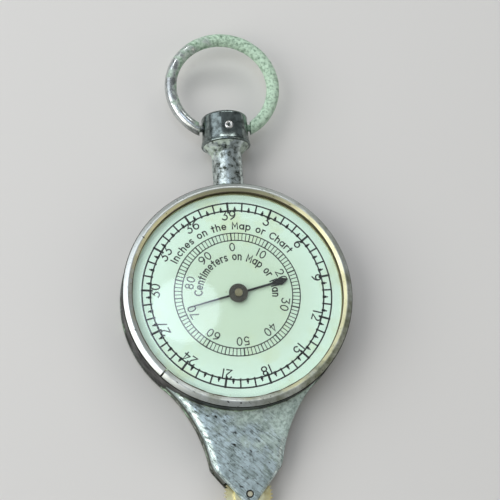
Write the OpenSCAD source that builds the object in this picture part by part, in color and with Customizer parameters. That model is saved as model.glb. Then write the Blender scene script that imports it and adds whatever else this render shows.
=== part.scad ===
// Opisometer: a pocket map measurer with a toothed tracing wheel, a geared
// movement, a round dial under a domed crystal, and a swinging bow ring.
// Lies on its back: z = 0 is the back face, the needle turns about the z axis,
// +y runs along the body to the bow ring. Millimetres.

/* [Case] */
// Outside radius of the round drum
case_r = 16.05; // [15.6:0.05:17]
// Thickness of the sheet that the shells are pressed from
sheet_t = 0.5; // [0.4:0.05:0.6]
// Wall of the drum
drum_wall = 0.6; // [0.5:0.05:0.7]
// Height of the rim of the back shell
rim_h = 1.2; // [1:0.05:1.4]
// How far the rim of the back shell stands proud of the case
rim_proud = 0.15; // [0.05:0.05:0.25]
// Wall of the rim where the drum nests in it
rim_wall = 0.35; // [0.3:0.05:0.4]
// Rounding of the bottom edge of the back shell
back_round = 0.7; // [0.4:0.05:0.9]
// Rounding of the front edges of the extension
front_round = 0.8; // [0.5:0.05:1]

/* [Extension] */
// Distance from the needle axis to the axle of the tracing wheel
tip_dist = 27.3; // [26.8:0.1:27.8]
// Half width of the extension at its narrowest
waist_half = 4.6; // [4.4:0.05:5]
// Distance of the narrowest place from the needle axis
waist_y = 26.5; // [26:0.1:27.5]
// How deep the flank curve bites into the round of the case
flank_bite = 0.1; // [0.05:0.05:0.2]
// Thickness at which the cover's walls end beside the drum
cusp_t = 0.15; // [0.1:0.05:0.3]
// Radius of the rounded tip around the axle
tip_r = 1.33; // [1.2:0.01:1.6]
// Angle between the straight edges of the tip and the body's length
tip_angle = 39.3; // [36:0.1:42]
// Gap between the side walls' ends and the tracing wheel
mouth_gap = 0.3; // [0.2:0.05:0.5]

/* [Tracing wheel] */
// Distance on the map for one turn of the wheel
wheel_travel = 20; // [19:0.1:20.5]
// Number of teeth on its rim
rim_teeth = 40; // [36:1:44]
// Thickness of the rim
rim_t = 0.9; // [0.8:0.05:1]
// Radius of the wheel's bosses
boss_r = 2; // [1.6:0.05:2.2]
// Radius of the axle inside the wheel
axle_r = 0.6; // [0.5:0.05:0.8]
// Radius of the pivots at the axle's ends
axle_pivot_r = 0.34; // [0.3:0.01:0.4]
// Radius of the oil sink around each pivot
oil_sink_r = 0.58; // [0.5:0.01:0.7]
// Depth of the oil sink
oil_sink_depth = 0.15; // [0.1:0.01:0.2]

/* [Gears] */
// Teeth of the first gear, which the tracing wheel's rim drives
first_teeth = 64; // [60:1:66]
// Teeth of the first pinion
first_pinion_teeth = 10; // [9:1:12]
// Teeth of the second gear
second_teeth = 50; // [46:1:52]
// Teeth of the second pinion
second_pinion_teeth = 8; // [8:1:10]
// Teeth of the centre wheel, which turns the needle
centre_teeth = 50; // [46:1:52]
// Module of the first pinion and the second gear
second_module = 0.3; // [0.28:0.005:0.31]
// Thickness of the first gear
first_gear_t = 0.6; // [0.5:0.05:0.7]
// Thickness of the second gear and the centre wheel
gear_t = 0.38; // [0.3:0.02:0.44]
// Height between gears that pass over each other
layer_gap = 0.2; // [0.15:0.05:0.3]
// Play of each arbor between the plates
end_shake = 0.12; // [0.08:0.02:0.16]
// Number of spokes in each gear
gear_spokes = 4; // [3:1:6]
// Width of a gear's spokes
spoke_w = 0.9; // [0.7:0.05:1.1]
// Width of the ring of metal under a gear's teeth
gear_rim_w = 0.75; // [0.6:0.05:0.9]
// Radius of a gear's hub
gear_hub_r = 1.5; // [1.3:0.05:1.7]
// Radius of the two gear arbors
arbor_r = 0.5; // [0.4:0.05:0.55]
// Radius of their pivots
pivot_r = 0.3; // [0.24:0.02:0.34]

/* [Movement] */
// Thickness of the movement's two plates
plate_t = 0.4; // [0.35:0.05:0.5]
// Radius of the pillars between the plates
pillar_r = 1.1; // [1:0.05:1.3]
// Radius of the tenon that fixes each pillar to the bottom plate
tenon_r = 0.6; // [0.5:0.05:0.7]
// Distance of the pillars from the plates' edge
pillar_inset = 2.15; // [1.8:0.05:2.4]
// Angle between the pillars and the line across the body
pillar_a = 37.3; // [35:0.1:40]
// Radius of the screw thread
screw_r = 0.4; // [0.35:0.01:0.45]
// Length of the screw below the top plate
screw_len = 1.4; // [1:0.1:1.6]
// Radius of the screw head
screw_head_r = 0.9; // [0.8:0.05:1]
// Height of the screw head
screw_head_h = 0.4; // [0.3:0.05:0.5]
// Width of the screw slot
screw_slot_w = 0.2; // [0.15:0.01:0.25]
// Radius of the bush around the needle's arbor
bush_r = 1.2; // [1:0.05:1.4]
// How far the bush stands above the top plate
bush_h = 0.8; // [0.6:0.1:1]
// Height of the spacer ring that carries the dial
spacer_h = 1.75; // [1.6:0.05:2]
// Width of the spacer ring
spacer_w = 0.85; // [0.7:0.05:0.95]

/* [Dial and crystal] */
// Thickness of the dial
dial_t = 0.4; // [0.3:0.05:0.5]
// Radius of the hole in the dial's middle
dial_hole_r = 0.95; // [0.9:0.01:1.05]
// Width of the brass hoop on the dial's edge
hoop_w = 0.85; // [0.7:0.05:1]
// Height of the brass hoop
hoop_h = 0.45; // [0.35:0.05:0.6]
// Thickness of the crystal's flange
flange_t = 0.3; // [0.25:0.05:0.4]
// Thickness of the crystal's dome
dome_t = 0.6; // [0.5:0.05:0.7]
// Height of the dome above the flange
dome_h = 1.65; // [1.5:0.05:2]
// How far the bezel stays inside the drum's edge
bezel_inset = 0.1; // [0.05:0.01:0.2]
// Width of the bezel
bezel_w = 0.8; // [0.7:0.01:0.9]
// Height of the bezel's straight sides
bezel_side_h = 0.2; // [0.1:0.05:0.3]
// Width of the slit where the bezel ring springs open
bezel_slit_w = 0.25; // [0.15:0.05:0.4]
// Direction of the slit, counted clockwise from the body's top
bezel_slit_a = 225.3; // [200:0.1:250]

/* [Needle] */
// Radius of the needle's arbor above the plates
needle_arbor_r = 0.55; // [0.5:0.01:0.6]
// Height of the needle's sleeve above the dial
sleeve_rise = 0.2; // [0.15:0.05:0.3]
// Radius of the hub's disc
hub_r = 1.32; // [1.2:0.01:1.4]
// Thickness of the hub's disc
hub_t = 0.25; // [0.2:0.01:0.3]
// Radius of the hub's sleeve
sleeve_r = 0.8; // [0.75:0.01:0.85]
// Thickness of the blade
blade_t = 0.15; // [0.1:0.01:0.2]
// Distance from the axis to the point of the needle
point_reach = 7.4; // [7:0.1:7.6]
// Distance from the axis to the end of the tail
tail_reach = 7.3; // [7:0.1:7.6]
// Length of the lozenge at the point
lozenge_len = 2.5; // [2.2:0.05:2.8]
// Width of the lozenge
lozenge_w = 1.15; // [1:0.05:1.3]
// Width of the arm next to the hub
arm_w = 0.3; // [0.24:0.01:0.36]
// Width of the tail at its end
tail_w = 0.14; // [0.1:0.01:0.2]
// Direction of the needle at rest, counted clockwise from the body's top
needle_a = 75.75; // [0:0.25:359]
// How far the arbor stands above the hub
arbor_rise = 0.25; // [0.15:0.05:0.35]

/* [Neck and bow ring] */
// Radius of the neck
neck_r = 2.2; // [2.1:0.05:2.3]
// Length of the neck between the drum and the cap
neck_len = 6.5; // [6:0.1:7]
// Radius of the neck's cone where it meets the cap
collar_r = 3.3; // [3:0.05:3.4]
// Length of the neck's cone
collar_h = 1.25; // [1:0.05:1.4]
// Radius of the spigot that fixes the neck in the drum
spigot_r = 1.2; // [1:0.05:1.4]
// Radius of the cap
cap_r = 3.45; // [3.3:0.05:3.6]
// Length of the cap
cap_len = 4.6; // [4.4:0.1:5]
// Thickness of the cap's closed end
cap_end_t = 0.7; // [0.6:0.05:0.8]
// Rounding of the cap's end
cap_round = 0.5; // [0.3:0.05:0.7]
// Height of the bead around the cap's mouth
bead_h = 0.4; // [0.3:0.05:0.5]
// How far the bead stands out
bead_out = 0.12; // [0.08:0.01:0.2]
// Space between the cap's bead and the surface that the case lies on
cap_lift = 0.05; // [0.02:0.01:0.1]
// Distance of the cross pin from the cap's mouth
pin_y = 2.15; // [2:0.05:2.2]
// Distance of the cross pin from the body's middle line
pin_x = 0.2; // [0:0.05:0.3]
// Radius of the cross pin
cross_pin_r = 0.6; // [0.5:0.01:0.65]
// Radius of the hole through the cross pin
cross_hole_r = 0.23; // [0.15:0.01:0.28]
// Distance of the ring's pivots from the cap's mouth
pivot_y = 2.9; // [2.8:0.05:3]
// Radius of the ring's pivots
ring_pivot_r = 0.5; // [0.4:0.02:0.56]
// Radius of the ring, to the middle of its wire
ring_r = 7.55; // [7.2:0.05:8]
// Radius of the ring's wire
wire_r = 0.88; // [0.8:0.02:0.95]
// Distance from the pivots to the middle of the ring
ring_rise = 6.5; // [6.2:0.05:6.8]

/* [Clearances] */
// Gap between a piece and the seat that holds it fast
fit_gap = 0.02; // [0.01:0.005:0.03]
// Gap between a turning pivot and its hole
run_gap = 0.05; // [0.03:0.01:0.08]
// Gap between the movement and the case around it
case_gap = 0.1; // [0.05:0.01:0.15]
// Gap between the ring's ends and the cap
ring_gap = 0.2; // [0.15:0.05:0.4]
// Play of the tracing wheel between the shells
wheel_shake = 0.12; // [0.08:0.01:0.16]

/* [Hidden] */
$fn = 96;
dome_fn = 256;

// Height that a cutting shape reaches past the face it cuts
cut = 1;

// Flank of the extension: a circle that almost touches the round of the case
flank_reach = case_r - flank_bite;
flank_r = (waist_half * waist_half + waist_y * waist_y - flank_reach * flank_reach)
    / (2 * (flank_reach - waist_half));
flank_x = waist_half + flank_r;
flank_angle = atan2(waist_y, flank_x);

// How far a straight edge keeps off the curve that it runs into, so that the two
// cross, and its length, which ends inside the flank's circle
edge_inset = flank_bite / 4;
edge_len = flank_r / 3;

// Heights, counted up from the back face
z_plate_low = sheet_t + plate_t;
z_second_gear = z_plate_low + end_shake;
z_first_gear = z_second_gear + gear_t + layer_gap;
z_centre_wheel = z_first_gear + first_gear_t + layer_gap;
z_plate_top = z_centre_wheel + gear_t + end_shake;
z_spacer = z_plate_top + plate_t;
z_cover_in = z_spacer + case_gap;
z_cover = z_cover_in + sheet_t;
z_dial = z_spacer + spacer_h;
z_face = z_dial + dial_t;
z_flange = z_face + hoop_h;
z_drum = z_flange + flange_t;
z_wheel = z_first_gear + first_gear_t / 2;
z_neck = cap_r + bead_out + cap_lift;

// Radii of the drum's inside and of what fits in it
drum_in_r = case_r - drum_wall;
movement_r = drum_in_r - case_gap;
insert_r = drum_in_r - fit_gap;
bezel_out_r = case_r - bezel_inset;
bezel_in_r = bezel_out_r - bezel_w;
pillar_x = (movement_r - pillar_inset) * cos(pillar_a);
pillar_y = (movement_r - pillar_inset) * sin(pillar_a);

// Tracing wheel and gear train, from the wheel up to the needle; a tooth's height
// in modules above and below the pitch circle, its half width in steps at tip and root
wheel_r = wheel_travel / (2 * PI);
add_f = 0.75;
ded_f = 1.05;
tip_f = 0.1;
root_f = 0.28;
first_module = 2 * wheel_r / rim_teeth;
first_y = tip_dist - first_module * (rim_teeth + first_teeth) / 2;
second_y = first_y - second_module * (first_pinion_teeth + second_teeth) / 2;
centre_module = 2 * second_y / (second_pinion_teeth + centre_teeth);
mouth_y = tip_dist - wheel_r - mouth_gap;
flank_dist = sqrt(flank_x * flank_x + waist_y * waist_y);
cross_y = (flank_dist * flank_dist + case_r * case_r - pow(flank_r + sheet_t, 2)) / (2 * flank_dist);
cross_x = sqrt(case_r * case_r - cross_y * cross_y);
window_half = cross_y * cos(flank_angle) - cross_x * sin(flank_angle) - case_gap;
cusp_run = sqrt(2 * (cusp_t + flank_bite) / (1 / case_r + 1 / flank_r));
cover_half = case_r * cos(flank_angle) - cusp_run * sin(flank_angle);

// Neck, cap and bow ring, along the body
neck_y = sqrt(case_r * case_r - neck_r * neck_r) - fit_gap;
cap_y = case_r + neck_len;
ring_pivot_y = cap_y + pivot_y;
ring_y = ring_pivot_y + ring_rise;
ring_end_x = cap_r + bead_out + ring_gap;
cap_bore_r = neck_r + fit_gap;
cap_bore_len = cap_len - cap_end_t;
pivot_end_x = cap_bore_r + fit_gap;

// Where the lozenge is widest, as a share of its length from the point, and how far
// the blade's eye stays inside the hub's disc
lozenge_mid = 0.45;
eye_inset = 0.12;

// Colours of the metals, the dial and the crystal
nickel = [0.72, 0.74, 0.75];
dark_nickel = [0.4, 0.42, 0.44];
brass = [0.78, 0.66, 0.36];
steel = [0.55, 0.57, 0.6];
ivory = [0.84, 0.93, 0.85];
ink = [0.1, 0.11, 0.11];

// ---- Shared outlines ------------------------------------------------------

// Point at distance d from the axis of the tracing wheel, along the normal of
// the tip's right straight edge
function tip_normal(d) = [d * cos(tip_angle), -tip_dist - d * sin(tip_angle)];

// Point that lies a length s further up the same edge
function tip_edge(d, s) = tip_normal(d) + s * [sin(tip_angle), cos(tip_angle)];

// Bar with the plan of the extension, grown by g: two curved flanks and a tapered
// tip, from the height z, of the thickness h
module extension(z, h, g) {
    edge_d = tip_r + g - edge_inset;
    meet = (flank_reach + g + edge_inset) * [cos(flank_angle), -sin(flank_angle)];
    right = [meet, tip_edge(edge_d, edge_len), tip_normal(edge_d)];
    left = [for (i = [2:-1:0]) [-right[i][0], right[i][1]]];
    translate([0, 0, z]) difference() {
        union() {
            linear_extrude(h) polygon(concat([[0, 0]], right, [[0, -tip_dist]], left));
            translate([0, -tip_dist, 0]) cylinder(h = h, r = tip_r + g);
        }
        for (side = [-1, 1]) translate([side * flank_x, -waist_y, -cut])
            cylinder(h = h + 2 * cut, r = flank_r - g);
    }
}

// Hollow of the extension, inset by g: closed at the flanks, open around the wheel
module hollow(z, h, g) {
    intersection() {
        extension(z, h, -g);
        translate([-case_r, -mouth_y, z]) cube([2 * case_r, mouth_y, h]);
    }
    translate([-case_r, -mouth_y - case_r, z]) cube([2 * case_r, case_r, h]);
}

// Ring that rounds the edge of both flanks; up is 1 for a top edge, -1 for a bottom one
module flank_round(z, r, g, up) {
    for (side = [-1, 1]) translate([side * flank_x, -waist_y, z])
        rotate_extrude() difference() {
            translate([flank_r - g - cut, up > 0 ? -r : -cut]) square([r + cut, r + cut]);
            translate([flank_r - g + r, -up * r]) circle(r);
        }
}

// Plain ring with its lower face at z = 0
module ring(out_r, in_r, h) {
    difference() {
        cylinder(h = h, r = out_r);
        translate([0, 0, -cut]) cylinder(h = h + 2 * cut, r = in_r);
    }
}

// ---- Case -----------------------------------------------------------------

module back_shell() color(nickel) {
    rim_r = case_r + rim_proud;
    difference() {
        union() {
            rotate_extrude() {
                square([rim_r - back_round, rim_h]);
                translate([0, back_round]) square([rim_r, rim_h - back_round]);
                intersection() {
                    translate([rim_r - back_round, back_round]) circle(back_round);
                    square([rim_r, back_round]);
                }
            }
            difference() {
                extension(0, rim_h, rim_proud);
                flank_round(0, back_round, rim_proud, -1);
            }
        }
        translate([0, 0, sheet_t]) cylinder(h = rim_h, r = rim_r - rim_wall);
        hollow(sheet_t, rim_h, rim_wall - rim_proud);
        axle_hole(-cut, 0, -1);
    }
}

module front_cover() color(nickel) {
    difference() {
        intersection() {
            extension(rim_h, z_cover - rim_h, 0);
            translate([-cover_half, -tip_dist - case_r, 0])
                cube([2 * cover_half, tip_dist + case_r, z_cover]);
        }
        cylinder(h = z_cover + cut, r = case_r);
        hollow(rim_h - cut, z_cover_in - rim_h + cut, sheet_t);
        flank_round(z_cover, front_round, 0, 1);
        axle_hole(z_cover_in - cut, z_cover, 1);
    }
}

// Hole for a pivot of the tracing wheel's axle, from the height z, with an oil
// sink in the outer face at z_out; up is 1 for the front, -1 for the back
module axle_hole(z, z_out, up) {
    translate([0, -tip_dist, z]) cylinder(h = sheet_t + 2 * cut, r = axle_pivot_r + run_gap);
    translate([0, -tip_dist, up > 0 ? z_out - oil_sink_depth : z_out - cut])
        cylinder(h = oil_sink_depth + cut, r = oil_sink_r);
}

module case_drum() color(nickel) {
    nest_r = case_r + rim_proud - rim_wall - fit_gap;
    difference() {
        union() {
            translate([0, 0, rim_h]) cylinder(h = z_drum - rim_h, r = case_r);
            translate([0, 0, sheet_t]) cylinder(h = rim_h - sheet_t, r = nest_r);
        }
        cylinder(h = z_drum + cut, r = drum_in_r);
        translate([-window_half, -case_r - cut, 0])
            cube([2 * window_half, case_r + cut - pillar_y, z_cover_in]);
        translate([0, 0, z_neck]) rotate([-90, 0, 0]) cylinder(h = case_r + cut, r = spigot_r + fit_gap);
    }
}

// ---- Neck, cap and bow ring ----------------------------------------------

module neck() color(nickel) {
    top_y = cap_y + cap_bore_len - fit_gap;
    difference() {
        union() {
            along_y(neck_y - neck_r, top_y - neck_y + neck_r) circle(neck_r);
            translate([0, cap_y - collar_h, z_neck]) rotate([-90, 0, 0])
                cylinder(h = collar_h - fit_gap, r1 = neck_r, r2 = collar_r);
        }
        cylinder(h = z_drum, r = case_r + fit_gap);
        cylinder(h = rim_h + fit_gap, r = case_r + rim_proud + fit_gap);
        cross_bore();
    }
    intersection() {
        along_y(0, case_r + neck_r) circle(spigot_r);
        ring(case_r + neck_r, drum_in_r, z_drum);
    }
}

// Round bar along the body's length, from y, of the length len
module along_y(y, len) {
    translate([0, y, z_neck]) rotate([-90, 0, 0]) linear_extrude(len) children();
}

// Bore for the cross pin, through the cap and the neck
module cross_bore() {
    translate([pin_x, cap_y + pin_y, z_neck - cap_r - cut])
        cylinder(h = 2 * (cap_r + cut), r = cross_pin_r + fit_gap);
}

module cap() color(dark_nickel) {
    difference() {
        translate([0, cap_y, z_neck]) rotate([-90, 0, 0]) rotate_extrude() {
            square([cap_r, cap_len - cap_round]);
            square([cap_r - cap_round, cap_len]);
            square([cap_r + bead_out, bead_h]);
            intersection() {
                translate([cap_r - cap_round, cap_len - cap_round]) circle(cap_round);
                square([cap_r, cap_len]);
            }
        }
        along_y(cap_y - cut, cap_bore_len + cut) circle(cap_bore_r);
        translate([-cap_r - cut, ring_pivot_y, z_neck]) rotate([0, 90, 0])
            cylinder(h = 2 * (cap_r + cut), r = ring_pivot_r + run_gap);
        cross_bore();
    }
}

module cross_pin() color(nickel) {
    translate([pin_x, cap_y + pin_y, z_neck - cap_r]) difference() {
        cylinder(h = 2 * cap_r, r = cross_pin_r);
        translate([0, 0, -cut]) cylinder(h = 2 * (cap_r + cut), r = cross_hole_r);
    }
}

module bow_ring() color(nickel) {
    difference() {
        translate([0, ring_y, z_neck]) rotate_extrude() translate([ring_r, 0]) circle(wire_r);
        translate([-ring_end_x, ring_y - ring_r - 2 * wire_r, z_neck - 2 * wire_r])
            cube([2 * ring_end_x, ring_r + 2 * wire_r, 4 * wire_r]);
    }
    for (side = [0, 180]) translate([0, ring_pivot_y, z_neck]) rotate([0, 90, side])
        translate([0, 0, pivot_end_x]) cylinder(h = ring_end_x + wire_r - pivot_end_x, r = ring_pivot_r);
}

// ---- Movement plates ------------------------------------------------------

// Plate at the height z: a disc with a tongue that reaches into the extension
module plate(z) {
    tongue_half = window_half - case_gap;
    translate([0, 0, z]) cylinder(h = plate_t, r = movement_r);
    intersection() {
        extension(z, plate_t, -sheet_t - case_gap);
        translate([-tongue_half, -mouth_y, z]) cube([2 * tongue_half, mouth_y, plate_t]);
    }
}

// Places of the four pillars
module at_pillars(z) {
    for (x = [-pillar_x, pillar_x], y = [-pillar_y, pillar_y]) translate([x, y, z]) children();
}

// Places of the three arbors, counted from the needle's
module at_arbor(y, z) {
    translate([0, -y, z]) children();
}

module bottom_plate() color(brass) {
    difference() {
        plate(sheet_t);
        at_pillars(sheet_t - cut) cylinder(h = plate_t + 2 * cut, r = tenon_r + fit_gap);
        for (y = [first_y, second_y, 0])
            at_arbor(y, sheet_t - cut) cylinder(h = plate_t + 2 * cut, r = pivot_r + run_gap);
    }
}

module top_plate() color(brass) {
    difference() {
        plate(z_plate_top);
        at_pillars(z_plate_top - cut) cylinder(h = plate_t + 2 * cut, r = screw_r + fit_gap);
        for (y = [first_y, second_y])
            at_arbor(y, z_plate_top - cut) cylinder(h = plate_t + 2 * cut, r = pivot_r + run_gap);
        translate([0, 0, z_plate_top - cut]) cylinder(h = plate_t + 2 * cut, r = bush_r + fit_gap);
    }
}

module pillars() color(brass) {
    at_pillars(z_plate_low) difference() {
        union() {
            cylinder(h = z_plate_top - z_plate_low, r = pillar_r);
            translate([0, 0, -plate_t]) cylinder(h = plate_t + fit_gap, r = tenon_r);
        }
        translate([0, 0, z_plate_top - z_plate_low - screw_len - fit_gap])
            cylinder(h = screw_len + cut, r = screw_r + fit_gap);
    }
}

module plate_screws() color(steel) {
    at_pillars(z_spacer) difference() {
        union() {
            cylinder(h = screw_head_h, r = screw_head_r);
            translate([0, 0, -plate_t - screw_len])
                cylinder(h = plate_t + screw_len + fit_gap, r = screw_r);
        }
        translate([-screw_head_r - cut, -screw_slot_w / 2, screw_head_h / 2])
            cube([2 * (screw_head_r + cut), screw_slot_w, screw_head_h]);
    }
}

module centre_bush() color(brass) {
    difference() {
        translate([0, 0, z_plate_top]) cylinder(h = plate_t + bush_h, r = bush_r);
        translate([0, 0, z_plate_top - cut])
            cylinder(h = plate_t + bush_h + 2 * cut, r = needle_arbor_r + run_gap);
    }
}

module spacer_ring() color(brass) {
    translate([0, 0, z_spacer]) ring(insert_r, insert_r - spacer_w, spacer_h);
}

// ---- Dial, crystal and bezel ---------------------------------------------

module dial() color(ivory) {
    translate([0, 0, z_dial]) ring(insert_r, dial_hole_r, dial_t);
}

module dial_hoop() color(brass) {
    translate([0, 0, z_face]) ring(insert_r, insert_r - hoop_w, hoop_h);
}

module crystal() color([0.8, 0.9, 0.95, 0.35]) {
    dome_r = bezel_in_r - case_gap;
    sphere_r = (dome_r * dome_r + dome_h * dome_h) / (2 * dome_h);
    translate([0, 0, z_drum]) rotate_extrude() {
        difference() {
            intersection() {
                translate([0, dome_h - sphere_r]) circle(sphere_r, $fn = dome_fn);
                translate([0, -flange_t]) square([dome_r, dome_h + flange_t]);
            }
            translate([0, dome_h - sphere_r]) circle(sphere_r - dome_t, $fn = dome_fn);
        }
        translate([dome_r - dome_t, -flange_t]) square([insert_r - dome_r + dome_t, flange_t]);
    }
}

module bezel_ring() color(nickel) {
    half_w = bezel_w / 2;
    translate([0, 0, z_drum]) difference() {
        rotate_extrude() {
            translate([bezel_in_r, 0]) square([bezel_w, bezel_side_h]);
            intersection() {
                translate([bezel_in_r + half_w, bezel_side_h]) circle(half_w);
                translate([bezel_in_r, 0]) square([bezel_w, bezel_side_h + half_w]);
            }
        }
        rotate([0, 0, -bezel_slit_a]) translate([-bezel_slit_w / 2, 0, -cut])
            cube([bezel_slit_w, bezel_out_r + cut, bezel_side_h + half_w + 2 * cut]);
    }
}

// ---- Wheels and gears -----------------------------------------------------

// Outline of a toothed wheel with n teeth of module m; the first tooth points along +x
module teeth_2d(n, m) {
    step = 360 / n;
    root = m * (n / 2 - ded_f);
    tip = m * (n / 2 + add_f);
    tooth = [[root, -root_f], [tip, -tip_f], [tip, tip_f], [root, root_f]];
    polygon([for (i = [0:n - 1], p = tooth) p[0] * [cos((i + p[1]) * step), sin((i + p[1]) * step)]]);
}

// Flat gear with a bore; its web is cut into spokes when spokes is not 0
module gear(n, m, h, bore_r, spokes) {
    rim_in_r = m * (n / 2 - ded_f) - gear_rim_w;
    linear_extrude(h) difference() {
        teeth_2d(n, m);
        circle(bore_r);
        if (spokes > 0) difference() {
            circle(rim_in_r);
            circle(gear_hub_r);
            for (i = [0:spokes - 1]) rotate(i * 360 / spokes)
                translate([0, -spoke_w / 2]) square([rim_in_r + cut, spoke_w]);
        }
    }
}

// Turns a gear of n teeth so that a tooth points to +y, or a gap if gap is true
module mesh_up(n, gap) {
    rotate(90 + (gap ? 180 / n : 0)) children();
}

// The same, for the side that points to -y
module mesh_down(n, gap) {
    rotate(-90 + (gap ? 180 / n : 0)) children();
}

module tracing_wheel() color(brass) {
    boss_low = sheet_t + wheel_shake;
    at_arbor(tip_dist, 0) difference() {
        union() {
            translate([0, 0, z_wheel - rim_t / 2]) mesh_up(rim_teeth, false)
                linear_extrude(rim_t) teeth_2d(rim_teeth, first_module);
            translate([0, 0, boss_low]) cylinder(h = z_cover_in - wheel_shake - boss_low, r = boss_r);
        }
        cylinder(h = z_cover, r = axle_r + fit_gap);
    }
}

module wheel_axle() color(steel) {
    at_arbor(tip_dist, 0) {
        translate([0, 0, fit_gap]) cylinder(h = z_cover - 2 * fit_gap, r = axle_pivot_r);
        translate([0, 0, sheet_t + wheel_shake])
            cylinder(h = z_cover_in - sheet_t - 2 * wheel_shake, r = axle_r);
    }
}

// Arbor between the plates, with a pivot in each plate
module arbor() {
    translate([0, 0, z_plate_low + end_shake / 2])
        cylinder(h = z_plate_top - z_plate_low - end_shake, r = arbor_r);
    translate([0, 0, sheet_t + fit_gap]) cylinder(h = z_spacer - sheet_t - 2 * fit_gap, r = pivot_r);
}

module first_gear() color(brass) {
    at_arbor(first_y, z_first_gear) mesh_down(first_teeth, true)
        gear(first_teeth, first_module, first_gear_t, arbor_r + fit_gap, gear_spokes);
}

module first_pinion() color(steel) {
    at_arbor(first_y, z_second_gear) mesh_up(first_pinion_teeth, true)
        gear(first_pinion_teeth, second_module, gear_t + layer_gap - fit_gap, arbor_r + fit_gap, 0);
}

module first_arbor() color(steel) at_arbor(first_y, 0) arbor();

module second_gear() color(brass) {
    at_arbor(second_y, z_second_gear) mesh_down(second_teeth, false)
        gear(second_teeth, second_module, gear_t, arbor_r + fit_gap, gear_spokes);
}

module second_pinion() color(steel) {
    z_low = z_second_gear + gear_t + fit_gap;
    at_arbor(second_y, z_low) mesh_up(second_pinion_teeth, false)
        gear(second_pinion_teeth, centre_module, z_plate_top - end_shake - z_low, arbor_r + fit_gap, 0);
}

module second_arbor() color(steel) at_arbor(second_y, 0) arbor();

module centre_wheel() color(brass) {
    translate([0, 0, z_centre_wheel]) mesh_down(centre_teeth, true)
        gear(centre_teeth, centre_module, gear_t, needle_arbor_r + fit_gap, gear_spokes);
}

module needle_arbor() color(brass) {
    z_hub = z_face + sleeve_rise + blade_t;
    translate([0, 0, sheet_t + fit_gap]) cylinder(h = z_plate_low - sheet_t + end_shake, r = pivot_r);
    translate([0, 0, z_plate_low + end_shake / 2])
        cylinder(h = z_hub + hub_t + arbor_rise - z_plate_low - end_shake / 2, r = needle_arbor_r);
}

// Flanged sleeve that presses the needle's blade on its arbor
module needle_hub() color(ink) {
    translate([0, 0, z_face + sleeve_rise]) difference() {
        union() {
            cylinder(h = blade_t + hub_t, r = sleeve_r);
            translate([0, 0, blade_t]) cylinder(h = hub_t, r = hub_r);
        }
        translate([0, 0, -cut]) cylinder(h = blade_t + hub_t + 2 * cut, r = needle_arbor_r + fit_gap);
    }
}

module needle_blade() color(ink) {
    neck_x = point_reach - lozenge_len;
    wide_x = point_reach - lozenge_len * lozenge_mid;
    edge = [[-tail_reach, -tail_w / 2], [0, -arm_w / 2], [neck_x, -arm_w / 2], [wide_x, -lozenge_w / 2],
        [point_reach, 0]];
    translate([0, 0, z_face + sleeve_rise]) rotate(90 - needle_a) linear_extrude(blade_t - fit_gap)
        difference() {
            union() {
                circle(hub_r - eye_inset);
                polygon(concat(edge, [for (i = [3:-1:0]) [edge[i][0], -edge[i][1]]]));
            }
            circle(sleeve_r + fit_gap);
        }
}

back_shell();
front_cover();
case_drum();
neck();
cap();
cross_pin();
bow_ring();
bottom_plate();
top_plate();
pillars();
plate_screws();
centre_bush();
spacer_ring();
dial();
dial_hoop();
crystal();
bezel_ring();
tracing_wheel();
wheel_axle();
first_gear();
first_pinion();
first_arbor();
second_gear();
second_pinion();
second_arbor();
centre_wheel();
needle_arbor();
needle_hub();
needle_blade();
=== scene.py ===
"""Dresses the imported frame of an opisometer, a small wheel instrument for measuring maps.

All sizes are millimetres in the frame of the case: the needle's axis is the origin on the
back face, +Y runs up to the bow ring and +Z comes out of the dial. Meshes are written in
metres, each in its place, so every finished piece's object stays at the origin.
"""

import logging
import math
from collections.abc import Sequence
from dataclasses import dataclass, field
from enum import Enum
from typing import Any

import bmesh
import bpy
import numpy as np
from mathutils import Matrix

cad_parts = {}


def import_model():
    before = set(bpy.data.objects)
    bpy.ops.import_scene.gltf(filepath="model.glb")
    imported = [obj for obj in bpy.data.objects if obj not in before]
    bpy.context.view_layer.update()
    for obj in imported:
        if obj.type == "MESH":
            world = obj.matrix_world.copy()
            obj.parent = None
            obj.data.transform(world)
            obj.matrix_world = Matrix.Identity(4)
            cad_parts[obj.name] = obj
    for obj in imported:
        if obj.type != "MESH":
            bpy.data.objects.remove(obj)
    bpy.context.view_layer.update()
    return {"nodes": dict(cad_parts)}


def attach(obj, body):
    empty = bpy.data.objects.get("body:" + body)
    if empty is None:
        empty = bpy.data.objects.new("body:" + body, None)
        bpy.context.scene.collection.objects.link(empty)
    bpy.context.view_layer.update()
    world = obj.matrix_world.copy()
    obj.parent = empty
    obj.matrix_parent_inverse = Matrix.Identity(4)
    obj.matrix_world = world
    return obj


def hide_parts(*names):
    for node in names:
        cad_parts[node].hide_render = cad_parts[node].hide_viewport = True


log = logging.getLogger("map_measurer")

Material = bpy.types.Material
Object = bpy.types.Object
Socket = bpy.types.NodeSocket
Tree = bpy.types.NodeTree
Pair = tuple[float, float]
Vec = tuple[float, float, float]

MM = 0.001
SEED = 39


# ---- Shapes ---------------------------------------------------------------


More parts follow.
